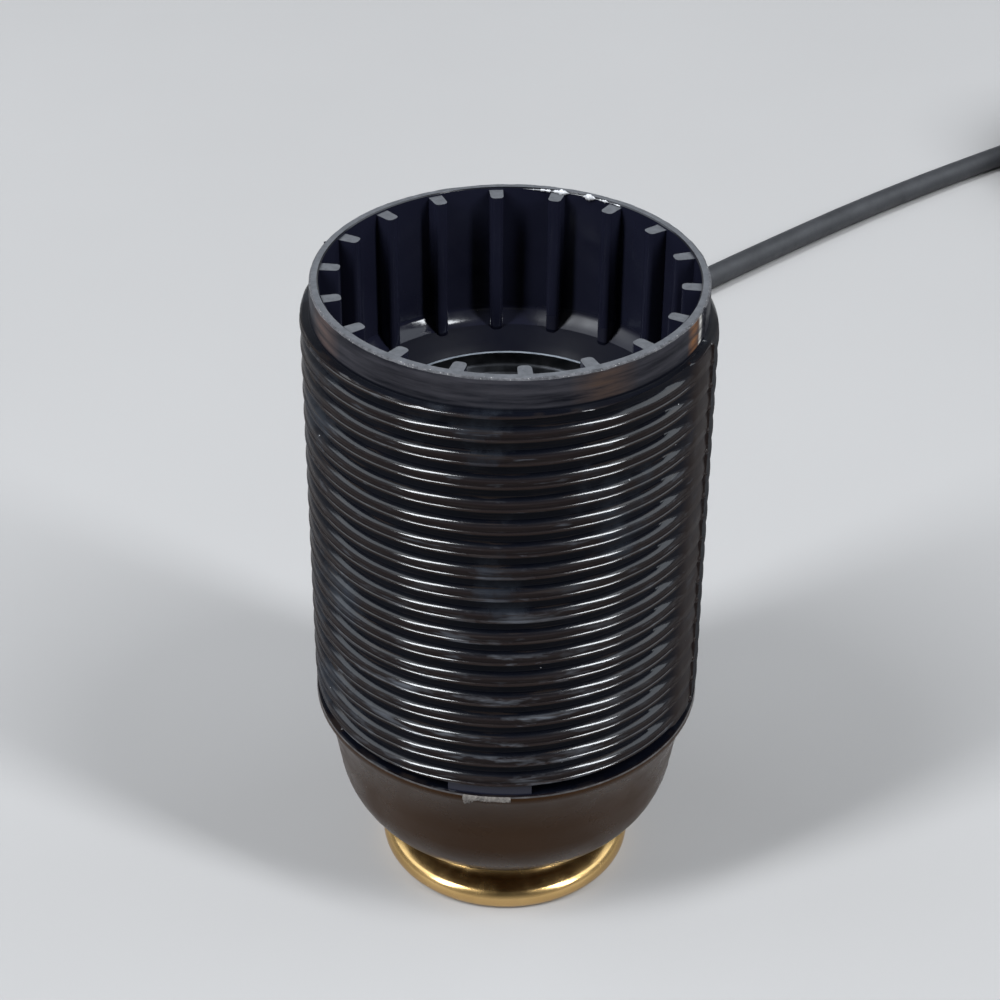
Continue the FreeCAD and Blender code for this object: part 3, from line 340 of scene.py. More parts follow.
# %% [markdown]
# ### Threads
#
# Three pieces carry a thread: the barrel outside, the foot inside, and the sheet sleeve. Each thread
# is one turn, spun with a small step upwards for each step round, and stacked by its pitch. It is
# then cut level at both ends, and the open loops there are bridged to the plain parts.

# %% Helpers for threads
def stack_thread(mesh, points, pitch, steps, turns):
    bmesh.ops.spin(mesh, geom=outline_of(mesh, points), cent=(0, 0, 0), axis=(0, 0, 1),
                   dvec=(0, 0, pitch * MM / steps), angle=2 * math.pi, steps=steps, use_merge=False)
    one_turn = mesh.verts[:] + mesh.edges[:] + mesh.faces[:]
    for turn in range(1, turns):
        copy = bmesh.ops.duplicate(mesh, geom=one_turn)
        bmesh.ops.translate(mesh, verts=verts_of(copy), vec=(0, 0, turn * pitch * MM))
    bmesh.ops.remove_doubles(mesh, verts=mesh.verts, dist=1e-6)


def cut_level(mesh, low, high, merge):
    """Cut a thread level at both ends, and merge the slivers that the cuts leave."""
    for height, normal in ((low, (0, 0, -1)), (high, (0, 0, 1))):
        bmesh.ops.bisect_plane(mesh, geom=mesh.verts[:] + mesh.edges[:] + mesh.faces[:], dist=1e-7,
                               plane_co=(0, 0, height * MM), plane_no=normal, clear_outer=True)
    bmesh.ops.remove_doubles(mesh, verts=[v for v in mesh.verts if v.is_boundary], dist=merge)


def join_loops(mesh, *heights):
    """Bridge the two open loops that lie at these heights."""
    level = [edge for edge in mesh.edges if edge.is_boundary
             and all(min(abs(v.co.z / MM - height) for height in heights) < 0.01 for v in edge.verts)]
    bmesh.ops.bridge_loops(mesh, edges=level)


# %% [markdown]
# ## The mouldings' finishes
#
# The barrel is a glossy black phenolic moulding that has been handled: a few places are hazy or
# scuffed, and there is dust. Its thread crests are painted a little browner than its roots, a painted
# reflection of a wooden surface. These marks follow the shape, so they are laid over shares of the
# surface that depend on radius, height and bearing.

# %% Finishes: shares of a surface
def radius_share(tree, low, high):
    """0 at the low radius from Z and 1 at the high one, in millimetres."""
    flat = add(tree, "ShaderNodeVectorMath", {0: place_in(tree), 1: (1, 1, 0)}, operation="MULTIPLY")
    length = add(tree, "ShaderNodeVectorMath", {0: flat.outputs["Vector"]}, operation="LENGTH")
    return ranged(tree, length.outputs["Value"], low * MM, high * MM)


def height_share(tree, low, high):
    height = add(tree, "ShaderNodeSeparateXYZ", {0: place_in(tree)}).outputs["Z"]
    return ranged(tree, height, low * MM, high * MM)


def streaks(tree, across, along):
    """Noise drawn out round the barrel: fine in height and long round it."""
    stretched = add(tree, "ShaderNodeMapping", {"Vector": place_in(tree), "Scale": (along, along, across)})
    return noise(tree, stretched.outputs["Vector"], 1.0, 4.0, 0.6)


def times(tree, first, second):
    return maths(tree, "MULTIPLY", first, second)


def lay_over(tree, share, colour, duller=0.0):
    """Lay a colour over a share of the surface, and raise the roughness there."""
    base, gloss = (tree.nodes["Principled BSDF"].inputs[name] for name in ("Base Color", "Roughness"))
    tree.links.new(mixed(tree, share, base.links[0].from_socket, (*colour, 1)), base)
    tree.links.new(maths(tree, "MULTIPLY_ADD", share, duller, gloss.links[0].from_socket), gloss)


def with_pale_specks(material, scale, size, share, colour):
    """Pale specks on a share of the cells of a fine Voronoi pattern."""
    tree = material.node_tree
    cells = add(tree, "ShaderNodeTexVoronoi", {"Vector": place_in(tree), "Scale": scale})
    lot = add(tree, "ShaderNodeSeparateColor", {"Color": cells.outputs["Color"]}).outputs["Red"]
    chosen = maths(tree, "GREATER_THAN", lot, 1 - share)
    near = maths(tree, "LESS_THAN", cells.outputs["Distance"], size)
    lay_over(tree, times(tree, chosen, near), colour)


# %% Barrel's black: crests, smudges and scuffs
black_moulding = finish_of(
    "black_moulding", (0.0018, 0.0023, 0.0046), (0.0032, 0.0038, 0.0068), (0.32, 0.46), 160, 1300,
    0.000009, IOR=1.3, Specular_IOR_Level=0.08, Coat_Weight=0.4, Coat_Roughness=0.13, Coat_IOR=1.5,
)
tree = black_moulding.node_tree
shader = tree.nodes["Principled BSDF"]
place = place_in(tree)
# Painted reflection: the crests are tinted brown, as if they mirrored a wooden surface.
lay_over(tree, radius_share(tree, 19.55, 19.88), (0.0110, 0.0070, 0.0062))

smudges = ranged(tree, noise(tree, place, 95, 6.0, 0.62), 0.56, 0.68)
lay_over(tree, times(tree, smudges, radius_share(tree, 18.6, 19.2)), (0.015, 0.018, 0.024), 0.22)

SCUFFED = Vector((-4, -20, 31)) * MM
SCUFFED_FROM, SCUFFED_TO = 21 * MM, 6 * MM
crests = radius_share(tree, 19.5, 19.8)
scuffs = ranged(tree, streaks(tree, 900, 170), 0.52, 0.66)
away = add(tree, "ShaderNodeVectorMath", {0: place, 1: SCUFFED}, operation="DISTANCE").outputs["Value"]
near = ranged(tree, away, SCUFFED_FROM, SCUFFED_TO)
lay_over(tree, times(tree, times(tree, crests, scuffs), near), (0.085, 0.092, 0.105), 0.35)
fine_scuffs = ranged(tree, streaks(tree, 2600, 300), 0.60, 0.70)
lay_over(tree, times(tree, crests, fine_scuffs), (0.040, 0.042, 0.048), 0.2)
print("black, so far:", len(tree.nodes), "nodes")

# %% [markdown]
# The plain collar above the thread is satin, with a few places painted paler or browner: the pale
# strip beside the seam is a painted highlight, and the brown ones are painted reflections of a wooden
# surface. Each is a band of bearings round the axis, broken up by the same streaks as the satin.

# %% Barrel's black: the collar
axes = add(tree, "ShaderNodeSeparateXYZ", {0: place}).outputs
bearing = maths(tree, "ARCTAN2", axes["Y"], axes["X"])


def near_bearing(middle, edge, core):
    """0 further than edge degrees from a bearing, and 1 within core degrees of it."""
    beside = maths(tree, "ABSOLUTE", maths(tree, "SUBTRACT", bearing, math.radians(middle)))
    return ranged(tree, beside, math.radians(edge), math.radians(core))


collar = times(tree, height_share(tree, 65.9, 66.1), radius_share(tree, 18.4, 18.6))
satin = ranged(tree, streaks(tree, 1500, 120), 0.3, 0.7)
lay_over(tree, times(tree, collar, satin), (0.034, 0.033, 0.039), 0.22)
# Painted light on the collar: first a pale painted highlight, then painted reflections of wood.
PAINTED_REFLECTIONS = [(-22.3, 1.7, (0.60, 0.58, 0.54)), (-26.6, 4.5, (0.17, 0.075, 0.027)),
          (-63, 11, (0.060, 0.036, 0.024)), (-154, 10, (0.090, 0.060, 0.052))]
for middle, half, colour in PAINTED_REFLECTIONS:
    patch = times(tree, near_bearing(middle, half, half * 0.2), satin)
    lay_over(tree, times(tree, collar, patch), colour, 0.1)
print("painted_reflection places:", len(PAINTED_REFLECTIONS))

# %% [markdown]
# Fine lines run along the thread, where the mould was turned. They are noise along a coordinate that
# is a point's height less the thread's climb at its bearing. Past the seam a strip stayed matt. The
# rings that ran on the thread have polished the flanks that look up, so the coat is strong there and
# weak elsewhere.

# %% Barrel's black: lines, the matt strip, polish and dust
PITCH = 2.5
LINE_DRIFT = 0.0005
MATT_STRIP, MATT_EDGE, MATT_CORE = -5, 13.6, 13.2
climb = maths(tree, "MULTIPLY_ADD", bearing, -PITCH * MM / (2 * math.pi), axes["Z"])
along_thread = add(tree, "ShaderNodeCombineXYZ", {"Y": times(tree, bearing, LINE_DRIFT), "Z": climb})
lines = noise(tree, along_thread.outputs["Vector"], 6500, 2.0, 0.5)
threads = radius_share(tree, 19.1, 19.2)
strip = times(tree, near_bearing(MATT_STRIP, MATT_EDGE, MATT_CORE), threads)
lay_over(tree, strip, (0.010, 0.0105, 0.0125), 0.4)
lay_over(tree, times(tree, threads, ranged(tree, lines, 0.56, 0.68)), (0.0150, 0.0112, 0.0102), 0.03)
scored = add(tree, "ShaderNodeBump", {
    "Height": times(tree, threads, lines), "Distance": 0.000006,
    "Normal": shader.inputs["Normal"].links[0].from_socket,
})
tree.links.new(scored.outputs["Normal"], shader.inputs["Normal"])
with_pale_specks(black_moulding, 900, 0.06, 0.10, (0.34, 0.34, 0.35))
facing = add(tree, "ShaderNodeNewGeometry", {}).outputs["Normal"]
upward = add(tree, "ShaderNodeSeparateXYZ", {0: facing}).outputs["Z"]
tree.links.new(ranged(tree, upward, 0.20, 0.6, 0.05, 0.85), shader.inputs["Coat Weight"])
print("black:", len(tree.nodes), "nodes")

# %% [markdown]
# The tops of the rim and the ribs were ground flat and are matt and grey, with small chips along the
# rim's outer edge; pale specks on the chips are painted glints. The mouth is glossy and blue-black,
# dulled on its right where the wall turns into the floor. The floor's cone is darker and mirrors
# almost nothing, which is painted shade at the bottom of the cup. The cap is a satin brown whose
# reflections are tinted brown, a painted reflection of a wooden surface. Its rim carries a pale line
# that is partly wear and partly a painted highlight on the corner, and it is rough where it was
# broken from the mould.

# %% Finishes: rim, mouth and cap
RIM = 69.1
CUP_FLOOR = RIM - 15.0

ground_moulding = finish_of(
    "ground_moulding", (0.060, 0.063, 0.070), (0.092, 0.096, 0.106), (0.55, 0.8), 1500, 6000, 0.00002,
)
# Painted reflection: the cap's reflections are tinted brown, as if it mirrored a wooden surface.
brown_moulding = finish_of(
    "brown_moulding", (0.0180, 0.0078, 0.0028), (0.0240, 0.0110, 0.0045), (0.24, 0.40), 120, 1500,
    0.000010, IOR=1.22, Specular_Tint=(1.0, 0.62, 0.36, 1),
)
with_pale_specks(brown_moulding, 700, 0.05, 0.07, (0.25, 0.24, 0.22))
cup_moulding = finish_of(
    "cup_moulding", (0.0078, 0.0083, 0.0170), (0.0105, 0.0112, 0.0215), (0.10, 0.20), 160, 1300,
    0.000007, IOR=1.4,
)
tree = cup_moulding.node_tree
sideways = add(tree, "ShaderNodeSeparateXYZ", {0: place_in(tree)}).outputs["X"]
low = height_share(tree, CUP_FLOOR + 1.8, CUP_FLOOR + 1.5)
lay_over(tree, times(tree, ranged(tree, sideways, 1 * MM, 5 * MM), low), (0.0085, 0.0090, 0.0175), 0.30)
with_pale_specks(cup_moulding, 900, 0.05, 0.04, (0.2, 0.2, 0.22))
# Painted glints: the pale specks on the chipped edge stand for light caught by the chips.
chipped_glinting_moulding = finish_of(
    "chipped_glinting_moulding", (0.030, 0.031, 0.035), (0.11, 0.11, 0.12), (0.25, 0.6), 2200, 5000, 0.00008,
)
with_pale_specks(chipped_glinting_moulding, 6500, 0.30, 0.14, (0.36, 0.355, 0.34))
scar_moulding = finish_of(
    "scar_moulding", (0.070, 0.063, 0.057), (0.20, 0.180, 0.162), (0.5, 0.8), 2600, 4500, 0.00010,
)
# Painted shade: the cone at the bottom of the cup is darker and duller than the wall's moulding.
cone_painted_shade = finish_of(
    "cone_painted_shade", (0.0036, 0.0040, 0.0085), (0.0044, 0.0048, 0.0100), (0.34, 0.46), 160, 1300,
    0.000007, IOR=1.15,
)
with_pale_specks(cone_painted_shade, 900, 0.05, 0.04, (0.2, 0.2, 0.22))
# The rim's pale edge: partly wear, and partly a painted highlight on the corner.
worn_edge_with_highlight = finish_of(
    "worn_edge_with_highlight", (0.016, 0.014, 0.014), (0.075, 0.070, 0.070), (0.30, 0.5), 700, 2600, 0.00001,
)
print("mouldings done")

# %% [markdown]
# ## The barrel
#
# The barrel carries the 40 by 2.5 millimetre thread that a shade ring runs on. One turn of the thread
# is spun as a rising strip, and copies of it are stacked by the pitch. Near the two parting lines of
# the mould the grooves run out on flats, so there the surface is pushed out to the flat's radius.
# The strip is then cut level at both ends and joined to the plain parts.

# %% Barrel: the thread
CREST = 19.9
ROOT = 19.15
THREAD_START = 17.93
SHELL_END = 22.85
THREAD_TOP = 65.7
MOULD_TURN = math.radians(-15.3)
TURN_STEPS = 144
THREAD_TURNS = 20
LAND_HALF = 12.0
LAND_DIP = 0.02
SEAM_OFF = -3.5
LAND_FLAT = ROOT - 0.1

THREAD_OUTLINE = [
    (19.15, 0.00), (19.15, 0.16), (19.20, 0.28), (19.45, 0.43), (19.76, 0.55), (19.87, 0.60),
    (19.90, 0.66), (19.89, 0.72), (19.86, 0.775), (19.805, 0.82), (19.76, 0.85), (19.75, 0.90),
    (19.765, 1.00), (19.80, 1.12), (19.82, 1.26), (19.81, 1.37), (19.78, 1.47), (19.73, 1.56),
    (19.66, 1.64), (19.575, 1.705), (19.48, 1.765), (19.28, 1.875), (19.17, 1.935), (19.15, 1.99),
    (19.15, 2.30), (19.15, 2.50),
]
LAND_STEP = 0.15
RAMP_FROM, RAMP_TO, RAMP_RISE = 1.5, 3.08, 0.08
SHOULDER_ROUND = 0.35


def land_sink(height, angle):
    """How far the land lies under the crest: a slow ramp up each thread, and a step at its edge."""
    along = (height - THREAD_START - PITCH * angle / (2 * math.pi) - RAMP_FROM) % PITCH
    ramp = RAMP_TO - RAMP_FROM
    if along < ramp:
        return LAND_STEP * along / ramp
    return LAND_STEP * max(0, 1 - (along - ramp) / RAMP_RISE)


barrel = bmesh.new()
stack_thread(barrel, [(r, THREAD_START + z) for r, z in THREAD_OUTLINE], PITCH, TURN_STEPS, THREAD_TURNS)

flat_angle = LAND_HALF + math.degrees(math.acos(LAND_FLAT / CREST))
for vertex in barrel.verts:
    radius, height, angle = place_of(vertex)
    off = abs((math.degrees(angle) - SEAM_OFF + 90) % 180 - 90)
    sunk = land_sink(height, angle % (2 * math.pi))
    if off <= LAND_HALF:
        set_place(vertex, max(CREST - sunk, radius - LAND_DIP))
    elif off < flat_angle:
        set_place(vertex, max(radius, LAND_FLAT / math.cos(math.radians(flat_angle - off)) - sunk))
cut_level(barrel, SHELL_END, THREAD_TOP, 4e-5)
for vertex in barrel.verts:
    radius, height, angle = place_of(vertex)
    into = max(0, height - (THREAD_TOP - SHOULDER_ROUND)) / SHOULDER_ROUND
    set_place(vertex, min(radius, CREST - SHOULDER_ROUND * (1 - math.sqrt(max(0, 1 - into * into)))))
print("thread:", len(barrel.faces), "faces,", sum(e.is_boundary for e in barrel.edges), "edge pieces open")

# %% [markdown]
# ### Collar, cup and ribs
#
# The rest of the barrel is one more spun outline, from the foot of the collar over the rim, down into
# the cup, along the inner tube and back up its outside, and down the skirt. The corner between the
# cup's wall and its floor is nearly a bevel, so its arc is a flat one. The outline is spun in 162
# steps, nine for each of the 18 ribs. A rib is then two columns of the cup's wall, pushed inwards,
# with its inner corners rounded by a bevel. Pushing real faces in keeps the barrel one closed skin.

# %% Barrel: plain parts and ribs
COLLAR = 18.9
CUP = 18.0
RIB_TOP = RIM - 0.3
RIB_TIP = 16.15
CUP_ROUND, CUP_BEND = 1.35, 3.6
SLEEVE_TOP = CUP_FLOOR - 1.9
SLEEVE_BORE = 13.95
TUBE = 15.15
SKIRT = 17.4
BLOCK_TOP = 30.5
FLOOR_UNDER = SLEEVE_TOP - 2.6
RIBS, RIB_STEPS = 18, 9
FIRST_RIB = math.radians(10.0)
COLUMN = 2 * math.pi / RIBS / RIB_STEPS
CLOSE = 0.01

slope = (CUP_FLOOR - SLEEVE_TOP) / (CUP - CUP_ROUND - SLEEVE_BORE)
rib_foot = CUP_FLOOR - (CUP - CUP_ROUND - RIB_TIP) * slope
plain = [
    (COLLAR + 0.16, THREAD_TOP), (COLLAR + 0.05, THREAD_TOP + 0.04), (COLLAR, THREAD_TOP + 0.22),
    (COLLAR, RIM - 1.2), (COLLAR, RIM - 0.2), (COLLAR - 0.06, RIM - 0.06), (COLLAR - 0.2, RIM),
    (CUP + 0.12, RIM), (CUP, RIM - 0.1), (CUP, RIB_TOP), (CUP, 62.0),
    (CUP, CUP_FLOOR + CUP_ROUND + 0.15),
    *arc_through((CUP, CUP_FLOOR + CUP_ROUND), (CUP - CUP_ROUND, CUP_FLOOR), -CUP_BEND, 5),
    (RIB_TIP, rib_foot), (15.0, rib_foot - (RIB_TIP - 15.0) * slope),
    (SLEEVE_BORE + 0.15, SLEEVE_TOP + 0.06), (SLEEVE_BORE, SLEEVE_TOP - 0.1),
    (SLEEVE_BORE, BLOCK_TOP), (TUBE, BLOCK_TOP), (TUBE, FLOOR_UNDER), (SKIRT, FLOOR_UNDER),
    (SKIRT, SHELL_END + 0.4), (SKIRT + 0.4, SHELL_END), (ROOT - 0.35, SHELL_END),
]

before = set(barrel.verts)
outline = outline_of(barrel, plain)
bmesh.ops.rotate(barrel, verts=[v for v in barrel.verts if v not in before], cent=(0, 0, 0),
                 matrix=Matrix.Rotation(FIRST_RIB, 3, "Z"))
spin_full(barrel, outline, RIBS * RIB_STEPS)
plain_verts = [v for v in barrel.verts if v not in before]


def on_rib(face, middle):
    """Whether a face of the cup's wall lies in the two columns of the rib at this bearing."""
    return all(RIB_TIP - CLOSE < radius < CUP + CLOSE and rib_foot - CLOSE < height < RIB_TOP + CLOSE
               and abs((angle - middle + math.pi) % (2 * math.pi) - math.pi) < COLUMN * 1.2
               for radius, height, angle in map(place_of, face.verts))


for rib in range(RIBS):
    middle = FIRST_RIB + rib * 2 * math.pi / RIBS
    near_faces = {face for v in plain_verts if v.is_valid for face in v.link_faces}
    wall = [face for face in near_faces if on_rib(face, middle)]
    pushed = bmesh.ops.extrude_face_region(barrel, geom=wall)
    bmesh.ops.delete(barrel, geom=wall, context="FACES_ONLY")
    tips = verts_of(pushed)
    for vertex in tips:
        set_place(vertex, RIB_TIP)
    plain_verts = [v for v in plain_verts if v.is_valid] + tips
bmesh.ops.remove_doubles(barrel, verts=[v for v in plain_verts if v.is_valid], dist=1e-5)
print("with plain parts:", len(barrel.faces), "faces")

# %% [markdown]
# ### Rounded corners and the surfaces
#
# The inner corners of the ribs are rounded by a bevel, and the open loops of the thread are bridged to
# the plain parts, which closes the barrel. Each face then gets one of five finishes by its place: ground
# tops, the chipped outer edge of the rim with its painted glints, the glossy cup, its cone darkened as
# painted shade, and black for the rest. The rim's outer edge is nibbled by small random moves, from a
# fixed seed, so that each run is the same.

# %% Barrel: rounded rib corners and joined ends
RIB_CORNER = 0.42
corners = []
for edge in barrel.edges:
    (r0, z0, a0), (r1, z1, a1) = (place_of(v) for v in edge.verts)
    upright = abs(z0 - z1) > 0.05 and abs(a0 - a1) < 0.001
    if upright and abs(r0 - RIB_TIP) < CLOSE and abs(r1 - RIB_TIP) < CLOSE:
        column = ((a0 - FIRST_RIB) / COLUMN) % RIB_STEPS
        if min(abs(column - 1), abs(column - RIB_STEPS + 1)) < 0.1:
            corners.append(edge)
bmesh.ops.bevel(barrel, geom=corners, offset=RIB_CORNER * MM, segments=3, profile=0.5, affect="EDGES",
                material=-1, clamp_overlap=True)
join_loops(barrel, SHELL_END)
join_loops(barrel, THREAD_TOP)
turn_all(barrel, MOULD_TURN)
print("open edges left:", sum(e.is_boundary for e in barrel.edges))

# %% Barrel: finishes by place, and the nibbled rim
BLACK, GROUND, CHIPPED, GLOSSY, CONE = range(5)
NIBBLE_IN, NIBBLE_DOWN = 0.07, 0.05
bmesh.ops.recalc_face_normals(barrel, faces=barrel.faces)
for face in barrel.faces:
    middle = face.calc_center_median()
    away, height = middle.xy.length / MM, middle.z / MM
    inside = away < CUP + 0.02 and height > SLEEVE_TOP - 0.2
    if height > RIM - 0.22 and away > COLLAR - 0.22:
        face.material_index = CHIPPED
    elif face.normal.z > 0.9 and height > RIB_TOP - 0.05:
        face.material_index = GROUND
    elif inside and away < CUP - CUP_ROUND and height < CUP_FLOOR:
        face.material_index = CONE
    else:
        face.material_index = GLOSSY if inside else BLACK
random.seed(11)
for vertex in barrel.verts:
    radius, height, angle = place_of(vertex)
    if height > RIM - 0.25 and radius > COLLAR - 0.25:
        set_place(vertex, radius - random.random() * NIBBLE_IN, height - random.random() * NIBBLE_DOWN)
skins = [black_moulding, ground_moulding, chipped_glinting_moulding, cup_moulding, cone_painted_shade]
barrel = make_piece("barrel", barrel, skins, sharp=38, recalc=False)
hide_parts("outer_shell")

# %% [markdown]
# ### Traces of the mould
#
# Where the halves of the mould met, a thin jagged fin stands up the barrel and its collar, with a
# tag at each thread. It starts as a grid two squares wide, whose middle row is raised. At the back of
# the rim a bead of flash was squeezed out. It is a small ring spun through part of a turn, and swollen
# and pinched along its way. Its pale grey is a painted highlight for the glints on the glossy flash.

# %% Barrel: parting fins
def smooth_randoms(count, run):
    """Random values from 0 to 1, each the mean of a run of neighbours."""
    raw = [random.random() for _ in range(count + run)]
    return [sum(raw[i:i + run]) / run for i in range(count)]


FIN_ROWS, FIN_SHEET = 260, 0.06
FIN_PROUD, FIN_ROUGH, FIN_SUNK = 0.02, 0.05, 0.14
FIN_WIDE, FIN_RAGGED, FIN_WANDER = 0.09, 0.08, 0.5
TAG_HEIGHT, TAG_SPREAD, TAG_PROUD, TAG_WIDE = 0.62, 0.22, 0.16, 0.42
fins = bmesh.new()
for side in (0, 1):
    polar = MOULD_TURN + math.radians(SEAM_OFF) + side * math.pi
    grid = bmesh.new()
    bmesh.ops.create_grid(grid, x_segments=2, y_segments=FIN_ROWS, size=1)
    wander = smooth_randoms(FIN_ROWS + 1, 5)
    rough = smooth_randoms(FIN_ROWS + 1, 2)
    for vertex in grid.verts:
        across = vertex.co.x
        row = round((vertex.co.y + 1) / 2 * FIN_ROWS)
        height = SHELL_END + 0.1 + (RIM - 0.12 - SHELL_END) * row / FIN_ROWS
        base = CREST - 0.03 if height < THREAD_TOP - 0.1 else COLLAR
        off_tag = (height - THREAD_START - PITCH * side / 2 - TAG_HEIGHT + PITCH / 2) % PITCH - PITCH / 2
        tag = math.exp(-(off_tag / TAG_SPREAD) ** 2) if height < THREAD_TOP else 0
        proud = FIN_PROUD + FIN_ROUGH * rough[row] + TAG_PROUD * tag if abs(across) < 0.5 else -FIN_SUNK
        aside = across * (FIN_WIDE + FIN_RAGGED * wander[row] + TAG_WIDE * tag * (0.4 + rough[row]))
        angle = polar + (aside + (wander[row] - 0.5) * FIN_WANDER) / CREST
        radius = base + proud
        vertex.co = Vector((radius * math.cos(angle), radius * math.sin(angle), height)) * MM
    bmesh.ops.recalc_face_normals(grid, faces=grid.faces)
    bmesh.ops.solidify(grid, geom=grid.faces[:], thickness=FIN_SHEET * MM)
    add_mesh(fins, grid)
fins = make_piece("parting_fins", fins, [black_moulding], sharp=80)

# %% Barrel: the bead of flash
FLASH_FROM, FLASH_TO, FLASH_STEPS = math.radians(53), math.radians(86), 90
FLASH_RADIUS, FLASH_HEIGHT, FLASH_THICK = CUP - 0.02, RIM - 0.16, 0.20
flash = bmesh.new()
bmesh.ops.create_circle(flash, segments=10, radius=FLASH_THICK * MM)
turn_all(flash, math.pi / 2, "X")
move_all(flash, FLASH_RADIUS, 0, FLASH_HEIGHT)
spin_part(flash, flash.verts[:] + flash.edges[:], FLASH_FROM, FLASH_TO, FLASH_STEPS)
swell = smooth_randoms(FLASH_STEPS + 1, 8)
for vertex in flash.verts:
    radius, height, angle = place_of(vertex)
    along = (angle - FLASH_FROM) / (FLASH_TO - FLASH_FROM)
    pinch = max(0.05, min(1, 6 * along, 6 * (1 - along))) ** 0.5
    size = (0.08 + 7.0 * max(0, swell[round(along * FLASH_STEPS)] - 0.48)) * pinch
    set_place(vertex, FLASH_RADIUS + (radius - FLASH_RADIUS) * size,
              FLASH_HEIGHT + (height - FLASH_HEIGHT) * size)
# Painted highlight: the flash is pale grey in place of the glints its glossy black would catch.
flash_painted_highlight = finish_of(
    "flash_painted_highlight", (0.22, 0.22, 0.23), (0.75, 0.75, 0.77), (0.15, 0.3), 900, 3000, 0.00002,
)
flash = make_piece("rim_flash", flash, [flash_painted_highlight], sharp=80)

# %% [markdown]
# ## The cap
#
# The cap is a bowl: a flat underside, a generous round, and a slight flare up to its rim, where the
# barrel's skirt drops over a spigot. One closed outline is spun for it. Its rim has a pale edge, partly
# wear and partly a painted highlight on the corner. The narrow ledge inside that edge is given the
# barrel's black, a painted shade of the gap under the barrel. The hole for the lead is cut with a
# Boolean, because a hole across a turned wall has no simple outline.

# %% Cap: bowl and spigot
FOOT_HEIGHT = 4.9
CAP_RIM = 21.65
CAP_RADIUS = 19.87
FLARE = arc_through((18.1, 15.2), (CAP_RADIUS, 21.0), -20, 40)
DOME_BEND = 9.5
SPIGOT, SPIGOT_BORE, SPIGOT_TOP = 17.1, 15.6, 27.0
NUT_HOLE, CAP_FLOOR = 6.55, 7.6

bowl = [
    (NUT_HOLE, FOOT_HEIGHT), (10.3, FOOT_HEIGHT), (10.8, FOOT_HEIGHT + 0.02),
    *arc_through((10.8, FOOT_HEIGHT), (17.77, 13.3), DOME_BEND, 14)[1:],
    (17.95, 14.2), *FLARE[::4], (CAP_RADIUS, CAP_RIM - 0.2), (19.8, CAP_RIM - 0.05), (19.6, CAP_RIM),
    (17.3, CAP_RIM), (SPIGOT, CAP_RIM + 0.2), (SPIGOT, SPIGOT_TOP - 0.2), (16.9, SPIGOT_TOP),
    (15.8, SPIGOT_TOP), (SPIGOT_BORE, SPIGOT_TOP - 0.2), (SPIGOT_BORE, 14.1),
    *arc_through((SPIGOT_BORE, 14.1), (10.2, CAP_FLOOR), -6.5, 8)[1:], (NUT_HOLE, CAP_FLOOR),
]
cap = turned(bowl, 160)
for face in cap.faces:
    middle = face.calc_center_median()
    away, height = middle.xy.length / MM, middle.z / MM
    # The rim's pale edge is partly a painted highlight on the corner.
    worn_highlit_rim = away > 19.7 and height > CAP_RIM - 0.21
    # Painted shade: the ledge under the barrel takes the barrel's black in place of the cap's brown.
    ledge = 17.0 < away < 19.7 and height > CAP_RIM - 0.1
    face.material_index = 1 if worn_highlit_rim else 2 if ledge else 0
cap = make_piece("cap", cap, [brown_moulding, worn_edge_with_highlight, black_moulding])

# %% Cap: the outlet
OUTLET, OUTLET_RADIUS = 13.0, 3.2
drill_place = Matrix.Translation((0, 18 * MM, OUTLET * MM)) @ Matrix.Rotation(math.pi / 2, 4, "X")
cutter = bmesh.new()
bmesh.ops.create_cone(cutter, cap_ends=True, segments=32, radius1=OUTLET_RADIUS * MM,
                      radius2=OUTLET_RADIUS * MM, depth=12 * MM, matrix=drill_place)
drill_mesh = bpy.data.meshes.new("drill")
cutter.to_mesh(drill_mesh)
cutter.free()
drill = bpy.data.objects.new("drill", drill_mesh)
bpy.context.scene.collection.objects.link(drill)
cut = cap.modifiers.new("outlet", "BOOLEAN")
cut.object = drill
cut.operation = "DIFFERENCE"
bpy.context.view_layer.update()
carved = bpy.data.meshes.new_from_object(cap.evaluated_get(bpy.context.evaluated_depsgraph_get()))
cap.modifiers.clear()
cap.data = carved
bpy.data.objects.remove(drill)
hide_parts("dome_cap")
print("cap with its outlet:", len(cap.data.polygons), "faces")

# %% [markdown]
# ### Stop lug
#
# A short lug on the cap's rim fills the gap below the barrel and stops it from turning. It is as
# black and glossy as the cup. It is a rectangle spun through part of a turn.

# %% Cap: the stop lug
LUG_MIDDLE, LUG_HALF = math.radians(-94.6), math.radians(12.2)
LUG_IN, LUG_OUT, LUG_LOW, LUG_TOP = 16.7, 19.52, CAP_RIM - 0.3, SHELL_END - 0.02
lug = bmesh.new()
section = outline_of(lug, [(LUG_IN, LUG_LOW), (LUG_OUT, LUG_LOW), (LUG_OUT, SHELL_END - 0.2),
                           (LUG_OUT - 0.12, LUG_TOP), (LUG_IN, LUG_TOP)], closed=True)
spin_part(lug, section, LUG_MIDDLE - LUG_HALF, LUG_MIDDLE + LUG_HALF, 12)
lug = make_piece("stop_lug", lug, [cup_moulding])

# %% [markdown]
# ### Gate scar
#
# Under the lug the plastic was once fed into the mould and broken off, which left a rough pale patch.
# It is a thin plate spun along the flare, cut fine, and roughened by small random moves. Its lower
# edge is lifted by a smoothed run of random values, so that it looks torn.

